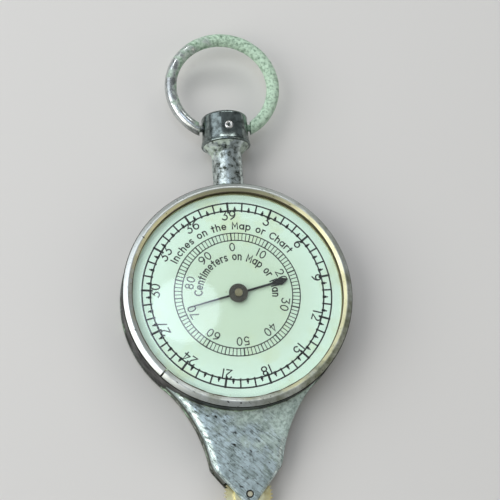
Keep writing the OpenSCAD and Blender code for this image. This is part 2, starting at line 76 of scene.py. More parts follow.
@dataclass
class Skin:
    """One surface on a grid of rows and columns, in millimetres.

    Rows follow the path or the turn, and columns follow the profile.
    """

    points: np.ndarray
    ring_rows: bool = False
    ring_columns: bool = False
    cap_start: bool = False
    cap_end: bool = False

    def quads(self) -> np.ndarray:
        """Corners of each quad: a cell joins its row and column to the next, wrapped where closed.

        Returns:
            Four point numbers per quad.
        """
        rows, columns = self.points.shape[:2]
        i, j = np.meshgrid(
            np.arange(rows if self.ring_rows else rows - 1),
            np.arange(columns if self.ring_columns else columns - 1),
            indexing="ij",
        )
        i2, j2 = (i + 1) % rows, (j + 1) % columns
        corners = [i * columns + j, i2 * columns + j, i2 * columns + j2, i * columns + j2]
        return np.stack(corners, -1).reshape(-1, 4)

    def caps(self) -> list[list[int]]:
        """One face over the first row and one over the last, where those ends are closed.

        Returns:
            The point numbers of each face.
        """
        rows, columns = self.points.shape[:2]
        first = list(range(columns))
        last = [(rows - 1) * columns + k for k in first]
        return [first[::-1]] * self.cap_start + [last] * self.cap_end


def make_piece(name: str, skins: Sequence[Skin], crease: float = 35.0) -> Object:
    """Puts skins into one mesh, closes its poles and seams and turns its faces outwards.

    Args:
        name: Name of the new piece.
        skins: The surfaces that the piece is made of.
        crease: Angle in degrees from which an edge stays sharp.

    Returns:
        The new object, at the origin, with its mesh in metres.
    """
    faces: list[Sequence[int]] = []
    start = 0
    for skin in skins:
        faces += (skin.quads() + start).tolist()
        faces += [[k + start for k in cap] for cap in skin.caps()]
        start += skin.points.shape[0] * skin.points.shape[1]
    mesh = bpy.data.meshes.new(name)
    corners = np.concatenate([skin.points.reshape(-1, 3) for skin in skins]) * MM
    mesh.from_pydata(corners.tolist(), [], faces)
    work = bmesh.new()
    work.from_mesh(mesh)
    bmesh.ops.remove_doubles(work, verts=work.verts, dist=1e-7)
    bmesh.ops.dissolve_degenerate(work, edges=work.edges, dist=1e-8)
    bmesh.ops.recalc_face_normals(work, faces=work.faces)
    work.to_mesh(mesh)
    work.free()
    mesh.shade_smooth()
    mesh.set_sharp_from_angle(angle=math.radians(crease))
    piece = bpy.data.objects.new(name, mesh)
    bpy.context.scene.collection.objects.link(piece)
    return piece


class Axis(Enum):
    """The line that a turned piece is turned about."""

    OUT_OF_DIAL = "z"
    ALONG_BODY = "y"
    ACROSS_BODY = "x"


def turned(
    profile: np.ndarray,
    axis: Axis = Axis.OUT_OF_DIAL,
    centre: Vec = (0.0, 0.0, 0.0),
    sides: int = 180,
    closed: bool = False,
) -> Skin:
    """A profile of radius and height turned once round an axis.

    A point is the centre, plus its radius times the cosine and sine of the turn on the two
    cross directions, plus its height along the axis.

    Args:
        profile: Radius and height of each point of the profile.
        axis: Direction of the axis.
        centre: A point of the axis, from which heights count.
        sides: Number of steps in the turn.
        closed: True where the profile's last point joins its first.

    Returns:
        The turned skin.
    """
    turn = np.linspace(0.0, 2 * np.pi, sides, endpoint=False)[:, None]
    radius, height = profile[None, :, 0], profile[None, :, 1]
    one, two = radius * np.cos(turn), radius * np.sin(turn)
    up = np.broadcast_to(height, one.shape)
    order = {
        Axis.OUT_OF_DIAL: (one, two, up),
        Axis.ALONG_BODY: (two, up, one),
        Axis.ACROSS_BODY: (up, one, two),
    }[axis]
    return Skin(np.stack(order, -1) + np.array(centre), ring_rows=True, ring_columns=closed)


def carried(path: np.ndarray, one: np.ndarray, two: np.ndarray, section: np.ndarray) -> np.ndarray:
    """A section carried along a path.

    Each point is the path's, plus the section's two coordinates times the path's two cross
    directions.

    Args:
        path: Points of the path, one per row.
        one: First cross direction at each point of the path.
        two: Second cross direction at each point of the path.
        section: Two coordinates per point, one section for all rows or one for each.

    Returns:
        The grid of points.
    """
    section = np.broadcast_to(section, (len(path),) + section.shape[-2:])
    return path[:, None] + section[..., :1] * one[:, None] + section[..., 1:] * two[:, None]


def arc(
    cx: float, cy: float, rx: float, ry: float, start: float, end: float, steps: int = 9
) -> np.ndarray:
    """Points on an ellipse: the centre plus the radii times cosine and sine of an angle in degrees."""
    angle = np.radians(np.linspace(start, end, steps))
    return np.stack([cx + rx * np.cos(angle), cy + ry * np.sin(angle)], -1)


def oval(cx: float, cy: float, rx: float, ry: float, sides: int) -> np.ndarray:
    """Points of a whole ellipse, of which the last isn't the first again."""
    return arc(cx, cy, rx, ry, 0, 360, sides + 1)[:-1]


def raised(plan: np.ndarray, height: float | np.ndarray) -> np.ndarray:
    """Points of a plan at one height, or each at its own."""
    return np.concatenate([plan, np.broadcast_to(height, len(plan))[:, None]], 1)


def rod(grid: np.ndarray) -> Skin:
    """A skin that is closed round its columns and capped at both ends."""
    return Skin(grid, ring_columns=True, cap_start=True, cap_end=True)


def wander(points: np.ndarray, size: float, seed: int, waves: int = 24) -> np.ndarray:
    """Smooth random height from about -1 to 1 over a cloud of points.

    It is the mean of sines in random directions, whose wavelengths lie round the given size.

    Args:
        points: Points in millimetres.
        size: Typical distance between two bumps, in millimetres.
        seed: Seed of the random directions.
        waves: Number of sines.

    Returns:
        One value per point.
    """
    draw = np.random.default_rng(SEED + seed)
    way = draw.normal(size=(3, waves))
    way *= 2 * np.pi / size * draw.uniform(0.5, 1.6, waves) / np.linalg.norm(way, axis=0)
    return np.sin(points @ way + draw.uniform(0, 2 * np.pi, waves)).sum(-1) / np.sqrt(waves * 0.7)


def seat(piece: Object, body: str, slot: str, finish: Material, *nodes: str) -> None:
    """Gives a new piece its body and its finish, and hides the nodes of the frame that it replaces.

    Args:
        piece: The new piece.
        body: The body that it moves with.
        slot: Not used.
        finish: Its material.
        nodes: The nodes of the frame that it replaces, if any.
    """
    piece.data.materials.clear()
    piece.data.materials.append(finish)
    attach(piece, body)
    if nodes:
        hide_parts(*nodes)
    log.info("%s: %d faces on %s", piece.name, len(piece.data.polygons), body)


# ---- Finishes -------------------------------------------------------------


def linear(code: str) -> tuple[float, float, float, float]:
    """Turns an sRGB hex colour into linear red, green, blue and 1.

    Args:
        code: The colour, such as "#C0D4BD".

    Returns:
        The linear colour.
    """
    parts = [int(code[k : k + 2], 16) / 255 for k in (1, 3, 5)]
    red, green, blue = (p / 12.92 if p <= 0.04045 else ((p + 0.055) / 1.055) ** 2.4 for p in parts)
    return red, green, blue, 1.0


def add_node(
    tree: Tree,
    kind: str,
    settings: dict[str, Any] | None = None,
    inputs: dict[str | int, Any] | None = None,
) -> bpy.types.Node:
    """Adds one node, sets its options and fills or links its inputs.

    Args:
        tree: The material's node tree.
        kind: Blender's name of the node, without its leading "ShaderNode".
        settings: Options of the node.
        inputs: A value or a linked socket for each named or numbered input.

    Returns:
        The new node.
    """
    node = tree.nodes.new("ShaderNode" + kind)
    for key, value in (settings or {}).items():
        setattr(node, key, value)
    for key, value in (inputs or {}).items():
        if isinstance(value, Socket):
            tree.links.new(value, node.inputs[key])
        else:
            node.inputs[key].default_value = value
    return node


def new_tree(name: str) -> tuple[Material, Tree]:
    """Makes a material with an empty node tree.

    Args:
        name: Name of the material.

    Returns:
        The material and its tree.
    """
    material = bpy.data.materials.new(name)
    material.use_nodes = True
    material.node_tree.nodes.clear()
    return material, material.node_tree


def per_mm(size: float) -> float:
    """Scale of a pattern on Object coordinates whose features are this many millimetres apart."""
    return 1 / (size * MM)


def patches(
    tree: Tree,
    place: Socket,
    size: float,
    low: float,
    high: float,
    detail: float = 4.0,
    lean: Vec = (0.0, 0.0, 0.0),
) -> Socket:
    """A mask of soft-edged patches: noise of one size, stretched so that low is 0 and high is 1.

    Args:
        tree: The material's node tree.
        place: The coordinates that the pattern is laid on.
        size: Distance between patches in millimetres.
        low: Noise below this gives 0.
        high: Noise above this gives 1.
        detail: Octaves of finer noise on the patches' edges.
        lean: How much the noise rises per millimetre to the right, up and outwards.

    Returns:
        The mask.
    """
    grain = {"Vector": place, "Scale": per_mm(size), "Detail": detail, "Roughness": 0.6}
    level = add_node(tree, "TexNoise", {}, grain).outputs["Fac"]
    if any(lean):
        rise = {0: place, 1: tuple(k / MM for k in lean)}
        slope = add_node(tree, "VectorMath", {"operation": "DOT_PRODUCT"}, rise).outputs["Value"]
        level = add_node(tree, "Math", {"operation": "ADD"}, {0: level, 1: slope}).outputs[0]
    limits = {"Value": level, "From Min": low, "From Max": high}
    return add_node(tree, "MapRange", {}, limits).outputs["Result"]


def from_axis(tree: Tree, place: Socket) -> Socket:
    """Distance from the case's axis, in metres: the length of the coordinates without their height.

    Args:
        tree: The material's node tree.
        place: The coordinates.

    Returns:
        The distance.
    """
    flat = add_node(tree, "VectorMath", {"operation": "MULTIPLY"}, {0: place, 1: (1.0, 1.0, 0.0)})
    return add_node(tree, "VectorMath", {"operation": "LENGTH"}, {0: flat.outputs[0]}).outputs["Value"]


def below(tree: Tree, length: Socket, edge: float, soft: float) -> Socket:
    """A mask that is 0 where a length is above an edge, and climbs to 1 over a soft width below it.

    Args:
        tree: The material's node tree.
        length: The length, in metres.
        edge: The edge in millimetres.
        soft: The soft width in millimetres.

    Returns:
        The mask.
    """
    limits = {"Value": length, "From Min": edge * MM, "From Max": (edge - soft) * MM}
    return add_node(tree, "MapRange", {}, limits).outputs["Result"]


def coats(tree: Tree, base: str, *layers: tuple[Socket, str | Socket]) -> Socket:
    """Lays coats of colour over a base: where a coat's mask is 1, it hides what is under it.

    Args:
        tree: The material's node tree.
        base: The colour underneath.
        layers: The mask and the colour of each coat, from the lowest up.

    Returns:
        The colour that shows.
    """
    colour: Any = linear(base)
    for mask, shade in layers:
        over = linear(shade) if isinstance(shade, str) else shade
        mix = add_node(tree, "Mix", {"data_type": "RGBA"}, {"Factor": mask, 6: colour, 7: over})
        colour = mix.outputs[2]
    return colour


def total(
    tree: Tree,
    start: float | Socket,
    *terms: tuple[Socket, float],
    clamp: bool = False,
) -> Socket:
    """A start value plus masks times their weights.

    Args:
        tree: The material's node tree.
        start: The value where every mask is 0.
        terms: Each mask with its weight.
        clamp: True where the sum is held between 0 and 1 after each term.

    Returns:
        The sum.
    """
    level: Any = start
    settings = {"operation": "MULTIPLY_ADD", "use_clamp": clamp}
    for mask, weight in terms:
        level = add_node(tree, "Math", settings, {0: mask, 1: weight, 2: level}).outputs[0]
    return level


def surfaced(material: Material, look: dict[str, Any]) -> Material:
    """Ends a material in one shader.

    Args:
        material: The material, whose tree has no output yet.
        look: A value or a linked socket for each of the shader's named inputs.

    Returns:
        The same material.
    """
    tree = material.node_tree
    shader = add_node(tree, "BsdfPrincipled", {}, look)
    add_node(tree, "OutputMaterial", {}, {"Surface": shader.outputs["BSDF"]})
    return material


@dataclass(frozen=True)
class WornNickel:
    """Nickel plate on brass, stamped and polished, then handled for decades.

    It gives the eye a warm grey mirror that is hazy where the plate is worn, with fine
    scratches, dark pits, brown tarnish and pale green verdigris where damp has sat, and
    painted shade on its walls below a set height.
    """

    name: str
    bright: str = "#C9C9C6"
    tarnish: str = "#55524A"
    pit: str = "#26241F"
    green: str = "#B4CDB2"
    green_dark: str = "#62775F"
    roughness: float = 0.2
    tarnish_size: float = 3.0
    tarnish_from: float = 0.6
    tarnish_soft: float = 0.14
    tarnish_lean: Vec = (0.0, 0.0, 0.0)
    pit_size: float = 0.35
    pit_stretch: float = 2.4
    pits: float = 0.5
    scratch_size: float = 0.2
    scratch_stretch: float = 7.0
    scratch_turn: float = -0.72
    scratches: float = 0.35
    scratch_level: Pair = (0.48, 0.66)
    green_size: float = 1.8
    green_from: float = 0.72
    green_soft: float = 0.045
    green_lean: Vec = (0.0, 0.0, 0.0)
    mottle_size: float = 0.7
    mottle_from: float = 0.42
    mottle_soft: float = 0.28
    mottle_lean: Vec = (0.0, 0.0, 0.0)
    # Painted shade: walls below this height take the wall colour as shade.
    unpolished_z: float = -1.0
    unpolished_soft: float = 0.25
    wall: str = "#5A5E52"
    bare_within: float = -1.0
    bare_soft: float = 0.2
    bare_brass: str = "#B9AF78"
    thumb_size: float = 2.0
    thumb_level: Pair = (0.25, 0.5)
    thumb_lean: Vec = (0.014, 0.02, 0.0)
    haze: Vec = (0.22, 0.4, 0.6)
    bump_depth: float = 0.02

    def along_scratches(self, tree: Tree, place: Socket, stretch: float) -> Socket:
        """Coordinates that draw a pattern out along the scratches, so many times longer than wide."""
        inputs = {"Vector": place, "Rotation": (0.0, 0.0, self.scratch_turn), "Scale": (stretch, 1.0, 1.0)}
        return add_node(tree, "Mapping", {"vector_type": "TEXTURE"}, inputs).outputs["Vector"]

    def bare(self, tree: Tree, place: Socket) -> Socket:
        """A mask of the plate that thumbs have worn through to the brass, near the case's axis.

        Args:
            tree: The material's node tree.
            place: The coordinates.

        Returns:
            The mask.
        """
        inside = below(tree, from_axis(tree, place), self.bare_within, self.bare_soft)
        thumbed = patches(tree, place, self.thumb_size, *self.thumb_level, 5.0, self.thumb_lean)
        return add_node(tree, "Math", {"operation": "MULTIPLY"}, {0: inside, 1: thumbed}).outputs[0]

    def grown(self, tree: Tree, place: Socket, wall: Socket) -> Socket:
        """A mask of the verdigris, which is thin on the walls.

        Args:
            tree: The material's node tree.
            place: The coordinates.
            wall: The mask of the walls.

        Returns:
            The mask.
        """
        low, high = self.green_from - self.green_soft, self.green_from + self.green_soft
        crusted = patches(tree, place, self.green_size, low, high, 8.0, self.green_lean)
        open_face = total(tree, 1.0, (wall, -0.8))
        return add_node(tree, "Math", {"operation": "MULTIPLY"}, {0: crusted, 1: open_face}).outputs[0]

    def make(self) -> Material:
        """Builds the material.

        Returns:
            The material, with its colour, metal, roughness and relief driven by wear.
        """
        material, tree = new_tree(self.name)
        place = add_node(tree, "TexCoord").outputs["Object"]
        low, high = self.tarnish_from - self.tarnish_soft, self.tarnish_from + self.tarnish_soft
        worn = patches(tree, place, self.tarnish_size, low, high, 7.0, self.tarnish_lean)
        # Painted shade: the walls are coloured dark up to one height, as the shade that lies on them.
        height = add_node(tree, "SeparateXYZ", {}, {0: place}).outputs["Z"]
        wall = below(tree, height, self.unpolished_z, self.unpolished_soft)
        # Pits are short dashes, since polishing has dragged their edges.
        dashes = self.along_scratches(tree, place, self.pit_stretch)
        pitted = patches(tree, dashes, self.pit_size, 0.7 - 0.12 * self.pits, 0.78 - 0.06 * self.pits, 2.0)
        # Handling scratches lie 0.2 mm apart and are drawn wider than the real hairlines.
        drawn = self.along_scratches(tree, place, self.scratch_stretch)
        lines = patches(tree, drawn, self.scratch_size, *self.scratch_level, 2.0)
        rubbed = total(tree, 0.0, (lines, self.scratches))
        grown = self.grown(tree, place, wall)
        high = self.mottle_from + self.mottle_soft
        mottle = patches(tree, place, self.mottle_size, self.mottle_from, high, 5.0, self.mottle_lean)
        colour = coats(
            tree,
            self.bright,
            (worn, self.tarnish),
            (self.bare(tree, place), self.bare_brass),
            (pitted, self.pit),
            # painted shade on the walls
            (wall, self.wall),
            (rubbed, self.tarnish),
            (grown, coats(tree, self.green, (mottle, self.green_dark))),
        )
        relief = total(tree, grown, (pitted, -1.0), (rubbed, -0.4))
        bump = {"Strength": 0.25, "Distance": self.bump_depth * MM, "Height": relief}
        hazed = zip((worn, rubbed, grown), self.haze)
        look = {
            "Base Color": colour,
            "Metallic": total(tree, 1.0, (grown, -1.0)),
            "Roughness": total(tree, self.roughness, *hazed, clamp=True),
            "Normal": add_node(tree, "Bump", {}, bump).outputs["Normal"],
        }
        return surfaced(material, look)


@dataclass(frozen=True)
class AgedMetal:
    """A machined metal that has dulled evenly: brass wheels and plates, steel pivots.

    It gives the eye the metal's own colour with cloudy darker patches and a soft shine.
    """

    name: str
    fresh: str
    dulled: str
    roughness: float = 0.32
    cloud: float = 2.0
    dull_level: Pair = (0.38, 0.68)
    dull_haze: float = 0.2

    def make(self) -> Material:
        """Builds the material.

        Returns:
            The material, with its colour and roughness driven by the dulled patches.
        """
        material, tree = new_tree(self.name)
        place = add_node(tree, "TexCoord").outputs["Object"]
        dull = patches(tree, place, self.cloud, *self.dull_level, 6.0)
        look = {
            "Base Color": coats(tree, self.fresh, (dull, self.dulled)),
            "Metallic": 1.0,
            "Roughness": total(tree, self.roughness, (dull, self.dull_haze)),
        }
        return surfaced(material, look)


@dataclass(frozen=True)
class StainedEnamel:
    """Pale green baked enamel on the brass dial, aged under the crystal.

    It gives the eye a smooth, slightly blue-green white that is greener in the middle,
    with faint yellow stains and a few brown specks.
    """

    name: str = "dial_stained_enamel"
    border: str = "#D0E7D8"
    middle: str = "#C0D4BD"
    stain: str = "#C3CE9C"
    speck: str = "#8F8A55"
    border_r: float = 12.35
    border_soft: float = 6.5
    stain_size: float = 7.0
    stain_level: Pair = (0.56, 0.84)
    speck_size: float = 0.6
    speck_level: Pair = (0.76, 0.84)
    roughness: float = 0.42

    def make(self) -> Material:
        """Builds the material.

        Returns:
            The material, whose colour runs from the middle to the border with stains.
        """
        material, tree = new_tree(self.name)
        place = add_node(tree, "TexCoord").outputs["Object"]
        inner = below(tree, from_axis(tree, place), self.border_r, self.border_soft)
        stains = patches(tree, place, self.stain_size, *self.stain_level, 5.0)
        specks = patches(tree, place, self.speck_size, *self.speck_level, 1.0)
        coloured = coats(tree, self.border, (inner, self.middle), (stains, self.stain), (specks, self.speck))
        return surfaced(material, {"Base Color": coloured, "Roughness": self.roughness})


@dataclass(frozen=True)
class PlainFinish:
    """A finish that is even all over, such as printing ink, black lacquer or a studio floor."""

    name: str
    colour: str
    roughness: float
    metallic: float = 0.0

    def make(self) -> Material:
        """Builds the material."""
        look = {"Base Color": linear(self.colour), "Roughness": self.roughness, "Metallic": self.metallic}
        return surfaced(new_tree(self.name)[0], look)


@dataclass(frozen=True)
class OldCrystal:
    """Moulded acrylic crystal, faintly hazed, that lets the lamps through to the dial.

    It gives the eye a thin clear dome that shows only by its highlights and its edge.
    """

    name: str = "crystal_moulded_acrylic"
    tint: str = "#FAFCFB"
    roughness: float = 0.07
    ior: float = 1.49

    def make(self) -> Material:
        """Builds the material.

        Returns:
            The material: clear acrylic, and plain passage for the rays of lamps.
        """
        material, tree = new_tree(self.name)
        look = {
            "Base Color": linear(self.tint),
            "Roughness": self.roughness,
            "IOR": self.ior,
            "Transmission Weight": 1.0,
        }
        acrylic = add_node(tree, "BsdfPrincipled", {}, look)
        passage = add_node(tree, "BsdfTransparent", {}, {"Color": linear(self.tint)})
        shadow = add_node(tree, "LightPath").outputs["Is Shadow Ray"]
        both = add_node(tree, "MixShader", {}, {0: shadow, 1: acrylic.outputs[0], 2: passage.outputs[0]})
        add_node(tree, "OutputMaterial", {}, {"Surface": both.outputs[0]})
        return material


# ---- Lettering ------------------------------------------------------------


def joined(*runs: Any) -> np.ndarray:
    """Runs of points, one after the other, as one stroke."""
    return np.concatenate([np.asarray(run, float) for run in runs])


@dataclass
class DraftingHand:
    """Single-stroke letters and figures as a draughtsman rules them, one unit high.

    Each sign is a width and its strokes; a stroke is a row of points from the baseline up.
    """

    gap: float = 0.24
    signs: dict[str, tuple[float, list[np.ndarray]]] = field(default_factory=dict)

    def figures(self) -> dict[str, tuple[float, list[Any]]]:
        """Draws the figures from 0 to 9.

        Returns:
            Width and strokes of each figure.
        """
        two = joined(arc(0.31, 0.7, 0.27, 0.3, 165, -35, 11), [[0.03, 0.0], [0.6, 0.0]])
        three = joined([[0.04, 1.0], [0.57, 1.0], [0.27, 0.6]], arc(0.28, 0.3, 0.3, 0.3, 80, -150, 11))
        five = joined([[0.56, 1.0], [0.13, 1.0], [0.09, 0.54]], arc(0.29, 0.31, 0.29, 0.32, 120, -150, 11))
        six = [
            joined([[0.5, 0.98]], arc(0.42, 0.38, 0.4, 0.5, 130, 180, 5)),
            arc(0.31, 0.3, 0.29, 0.3, 0, 360, 17),
        ]
        eight = [arc(0.31, 0.76, 0.22, 0.24, 0, 360, 17), arc(0.31, 0.26, 0.28, 0.26, 0, 360, 17)]
        return {
            "0": (0.62, [arc(0.31, 0.5, 0.28, 0.5, 0, 360, 21)]),
            "1": (0.2, [[[0.1, 0.0], [0.1, 1.0]]]),
            "2": (0.62, [two]),
            "3": (0.62, [three]),
            "4": (0.66, [[[0.47, 0.0], [0.47, 1.0], [0.03, 0.27], [0.64, 0.27]]]),
            "5": (0.62, [five]),
            "6": (0.62, six),
            "7": (0.6, [[[0.03, 1.0], [0.57, 1.0], [0.2, 0.0]]]),
            "8": (0.62, eight),
            "9": (0.62, [np.array([0.62, 1.0]) - stroke for stroke in six]),
        }

    def letters(self) -> dict[str, tuple[float, list[Any]]]:
        """Draws the letters that the two legends need.

        Returns:
            Width and strokes of each letter.
        """
        tall, short = ([[0.05, 0.0], [0.05, high]] for high in (1.0, 0.68))
        bowl = arc(0.28, 0.34, 0.27, 0.33, 0, 360, 17)
        hoop = arc(0.3, 0.34, 0.27, 0.34, 0, 360, 17)
        arch = joined(arc(0.27, 0.44, 0.22, 0.24, 180, 0, 9), [[0.49, 0.0]])
        first_arch = joined(arc(0.24, 0.46, 0.19, 0.22, 180, 0, 7), [[0.43, 0.0]])
        last_arch = joined(arc(0.61, 0.46, 0.18, 0.22, 180, 0, 7), [[0.79, 0.0]])
        high_bowl = joined([[0.06, 1.0]], arc(0.32, 0.73, 0.24, 0.27, 90, -90, 9), [[0.06, 0.46]])
        snake = joined(arc(0.24, 0.51, 0.18, 0.17, 40, 250, 8), arc(0.22, 0.17, 0.2, 0.17, 70, -140, 8))
        return {
            "I": (0.14, [[[0.07, 0.0], [0.07, 1.0]]]),
            "M": (0.8, [[[0.05, 0.0], [0.1, 1.0], [0.4, 0.3], [0.7, 1.0], [0.75, 0.0]]]),
            "C": (0.72, [arc(0.42, 0.5, 0.39, 0.5, 48, 312, 15)]),
            "P": (0.6, [[[0.06, 0.0], [0.06, 1.0]], high_bowl]),
            "a": (0.6, [bowl, [[0.56, 0.0], [0.56, 0.68]]]),
            "c": (0.52, [arc(0.3, 0.34, 0.27, 0.34, 52, 308, 13)]),
            "e": (0.58, [joined([[0.04, 0.34], [0.55, 0.36]], arc(0.29, 0.34, 0.26, 0.34, 8, 312, 15))]),
            "h": (0.54, [tall, arch]),
            "i": (0.14, [[[0.07, 0.0], [0.07, 0.68]], [[0.07, 0.88], [0.07, 0.93]]]),
            "l": (0.14, [[[0.07, 0.0], [0.07, 1.0]]]),
            "m": (0.84, [short, first_arch, last_arch]),
            "n": (0.54, [short, arch]),
            "o": (0.6, [hoop]),
            "p": (0.6, [[[0.05, -0.3], [0.05, 0.68]], arc(0.32, 0.34, 0.27, 0.34, 0, 360, 17)]),
            "r": (0.36, [short, arc(0.27, 0.42, 0.22, 0.26, 180, 65, 6)]),
            "s": (0.46, [snake]),
            "t": (0.36, [[[0.17, 0.0], [0.17, 0.95]], [[0.0, 0.66], [0.35, 0.66]]]),
            " ": (0.34, []),
        }

    def __post_init__(self) -> None:
        """Draws every sign."""
        for sign, (width, strokes) in (self.figures() | self.letters()).items():
            self.signs[sign] = (width, [np.asarray(stroke, float) for stroke in strokes])

    def along(self, words: str) -> tuple[float, list[np.ndarray]]:
        """Sets words on a straight line, in units of the letters' height.

        Args:
            words: What is written.

        Returns:
            The line's length and its strokes, from x = 0.
        """
        pen = 0.0
        strokes: list[np.ndarray] = []
        for sign in words:
            width, marks = self.signs[sign]
            strokes += [mark + np.array([pen, 0.0]) for mark in marks]
            pen += width + self.gap
        return pen - self.gap, strokes


# ---- Dial and its print ---------------------------------------------------


@dataclass
class PrintedDial:
    """The dial's two scales and their legends, printed in one thick dark ink."""

    face_z: float = 5.45
    ink_t: float = 0.012
    turn: float = 2.7
    centre: Pair = (-0.06, 0.02)
    outer_r: Pair = (13.2, 12.09)
    outer_cells: int = 39
    outer_every: int = 3
    inner_r: Pair = (8.78, 7.72)
    inner_ticks: int = 100
    inner_every: int = 10
    ring_w: Pair = (0.21, 0.15)
    tick_w: Pair = (0.3, 0.22)
    tick_past: Pair = (0.22, 0.1)
    half_ticks: tuple[Pair, ...] = ((0.45, 0.18), (0.16, 0.34))
    fine_w: Vec = (0.187, 0.1485, 0.11)
    ink_sink: float = 0.002
    least_turn: float = 0.55
    outer_label_r: float = 10.82
    outer_label_h: float = 1.2
    inner_label_r: float = 6.22
    inner_label_h: float = 1.08
    label_w: Pair = (0.19, 0.16)
    outer_words: str = "Inches on the Map or Chart"
    outer_words_r: float = 9.42
    outer_words_h: float = 0.92
    outer_span: Pair = (-58.0, 56.0)
    inner_words: str = "Centimeters on Map or Plan"
    inner_words_r: float = 4.92
    inner_words_h: float = 1.02
    inner_span: Pair = (-88.0, 99.0)
    words_w: float = 0.18
    hand: DraftingHand = field(default_factory=DraftingHand)

    def on_dial(self, clock: np.ndarray, radius: np.ndarray) -> np.ndarray:
        """Places on the case of radii on the print and clockwise angles, in degrees, from its top."""
        angle = np.radians(90.0 + self.turn - clock)
        return np.array(self.centre) + np.stack([radius * np.cos(angle), radius * np.sin(angle)], -1)

    def stroke(self, points: np.ndarray, width: float) -> Skin:
        """One pen stroke as a closed slab of ink that runs half a width past its ends.

        The slab's sides stand half a width to each side of the line, along the mean
        normal of the two runs that meet at a point, and reach out further in a bend by one
        over the cosine between that normal and a run's own.

        Args:
            points: Points of the stroke on the dial.
            width: Width of the pen.

        Returns:
            The slab.
        """
        closed = bool(np.allclose(points[0], points[-1])) and len(points) > 2
        run = np.diff(points, axis=0)
        run /= np.maximum(np.linalg.norm(run, axis=1, keepdims=True), 1e-9)
        if closed:
            before = np.concatenate([run[-1:], run])
            after = np.concatenate([run, run[:1]])
        else:
            before = np.concatenate([run[:1], run])
            after = np.concatenate([run, run[-1:]])
            points = points.copy()
            points[0] -= run[0] * width / 2
            points[-1] += run[-1] * width / 2
        along = before + after
        along /= np.maximum(np.linalg.norm(along, axis=1, keepdims=True), 1e-9)
        side = np.stack([-along[:, 1], along[:, 0], np.zeros(len(along))], -1)
        stretch = 1 / np.maximum((along * after).sum(1), self.least_turn)
        path = raised(points, self.face_z)
        up = np.tile([0.0, 0.0, 1.0], (len(points), 1))
        low, high = -self.ink_sink, self.ink_t
        section = np.array([[-1, low], [-1, high], [1, high], [1, low]], float)
        sections = np.repeat(section[None], len(points), 0)
        sections[..., 0] *= (stretch * width / 2)[:, None]
        grid = carried(path, side, up, sections)
        if closed:
            return Skin(grid[:-1], ring_rows=True, ring_columns=True)
        return rod(grid)

    def circle(self, radius: float, width: float) -> Skin:
        """A printed circle: the ink's small rectangle turned about the print's centre.

        Args:
            radius: Radius of the line's middle.
            width: Width of the line.

        Returns:
            The circle.
        """
        near, far = radius - width / 2, radius + width / 2
        low, high = -self.ink_sink, self.ink_t
        profile = np.array([[near, low], [far, low], [far, high], [near, high]])
        return turned(profile, centre=(*self.centre, self.face_z), sides=240, closed=True)

    def tick(self, clock: float, near: float, far: float, width: float) -> Skin:
        """A radial tick at one angle, between two radii."""
        return self.stroke(self.on_dial(np.full(2, clock), np.array([near, far])), width)

    def words(
        self, text: str, clock: float, radius: float, height: float, width: float, span: float = 0.0
    ) -> list[Skin]:
        """Words bent round the dial, centred on an angle.

        Along the line, a point's distance becomes an angle at the baseline's radius, and
        its height is added to that radius.

        Args:
            text: What is written.
            clock: Clockwise angle of the middle, in degrees.
            radius: Radius of the baseline.
            height: Height of the capitals.
            width: Width of the pen.
            span: Angle that the words are spread over, or 0 for their own length.

        Returns:
            The strokes.
        """
        length, strokes = self.hand.along(text)
        reach = span if span else math.degrees(length * height / radius)
        out = []
        for points in strokes:
            angle = clock + (points[:, 0] / length - 0.5) * reach
            out.append(self.stroke(self.on_dial(angle, radius + points[:, 1] * height), width))
        return out

    def outer_scale(self) -> list[Skin]:
        """The outer scale: two circles, a tick at each whole and half division, and its figures.

        A tick with a figure is the bolder kind. A half tick is two strokes, of which the
        short one thickens its foot.

        Returns:
            The strokes.
        """
        skins = [self.circle(radius, self.ring_w[0]) for radius in self.outer_r]
        step = 360 / self.outer_cells
        far, near = self.outer_r
        for k in range(self.outer_cells):
            kind = 0 if k % self.outer_every == 0 else 1
            skins.append(self.tick(k * step, near - self.tick_past[kind], far, self.tick_w[kind]))
            for share, width in self.half_ticks:
                skins.append(self.tick((k + 0.5) * step, near, near + (far - near) * share, width))
        for k in range(self.outer_every, self.outer_cells + 1, self.outer_every):
            skins += self.words(str(k), k * step, self.outer_label_r, self.outer_label_h, self.label_w[0])
        return skins

    def inner_scale(self) -> list[Skin]:
        """The inner scale: two circles, ticks that are bolder at each ten and five, and its figures.

        Returns:
            The strokes.
        """
        skins = [self.circle(radius, self.ring_w[1]) for radius in self.inner_r]
        step = 360 / self.inner_ticks
        far, near = self.inner_r
        for k in range(self.inner_ticks):
            kind = 0 if k % self.inner_every == 0 else 1 if 2 * k % self.inner_every == 0 else 2
            skins.append(self.tick(k * step, near, far, self.fine_w[kind]))
        for k in range(0, self.inner_ticks, self.inner_every):
            skins += self.words(str(k), k * step, self.inner_label_r, self.inner_label_h, self.label_w[1])
        return skins

    def legends(self) -> list[Skin]:
        """The two legends, which say what the scales count.

        Returns:
            The strokes.
        """
        skins = []
        for text, (start, end), radius, height in (
            (self.outer_words, self.outer_span, self.outer_words_r, self.outer_words_h),
            (self.inner_words, self.inner_span, self.inner_words_r, self.inner_words_h),
        ):
            skins += self.words(text, (start + end) / 2, radius, height, self.words_w, end - start)
        return skins

    def build(self, ink: Material) -> None:
        """Prints both scales and the legends in one ink."""
        skins = self.outer_scale() + self.inner_scale() + self.legends()
        seat(make_piece("dial_print", skins), "case", "black_steel", ink)


# ---- Crystal and bezel ----------------------------------------------------


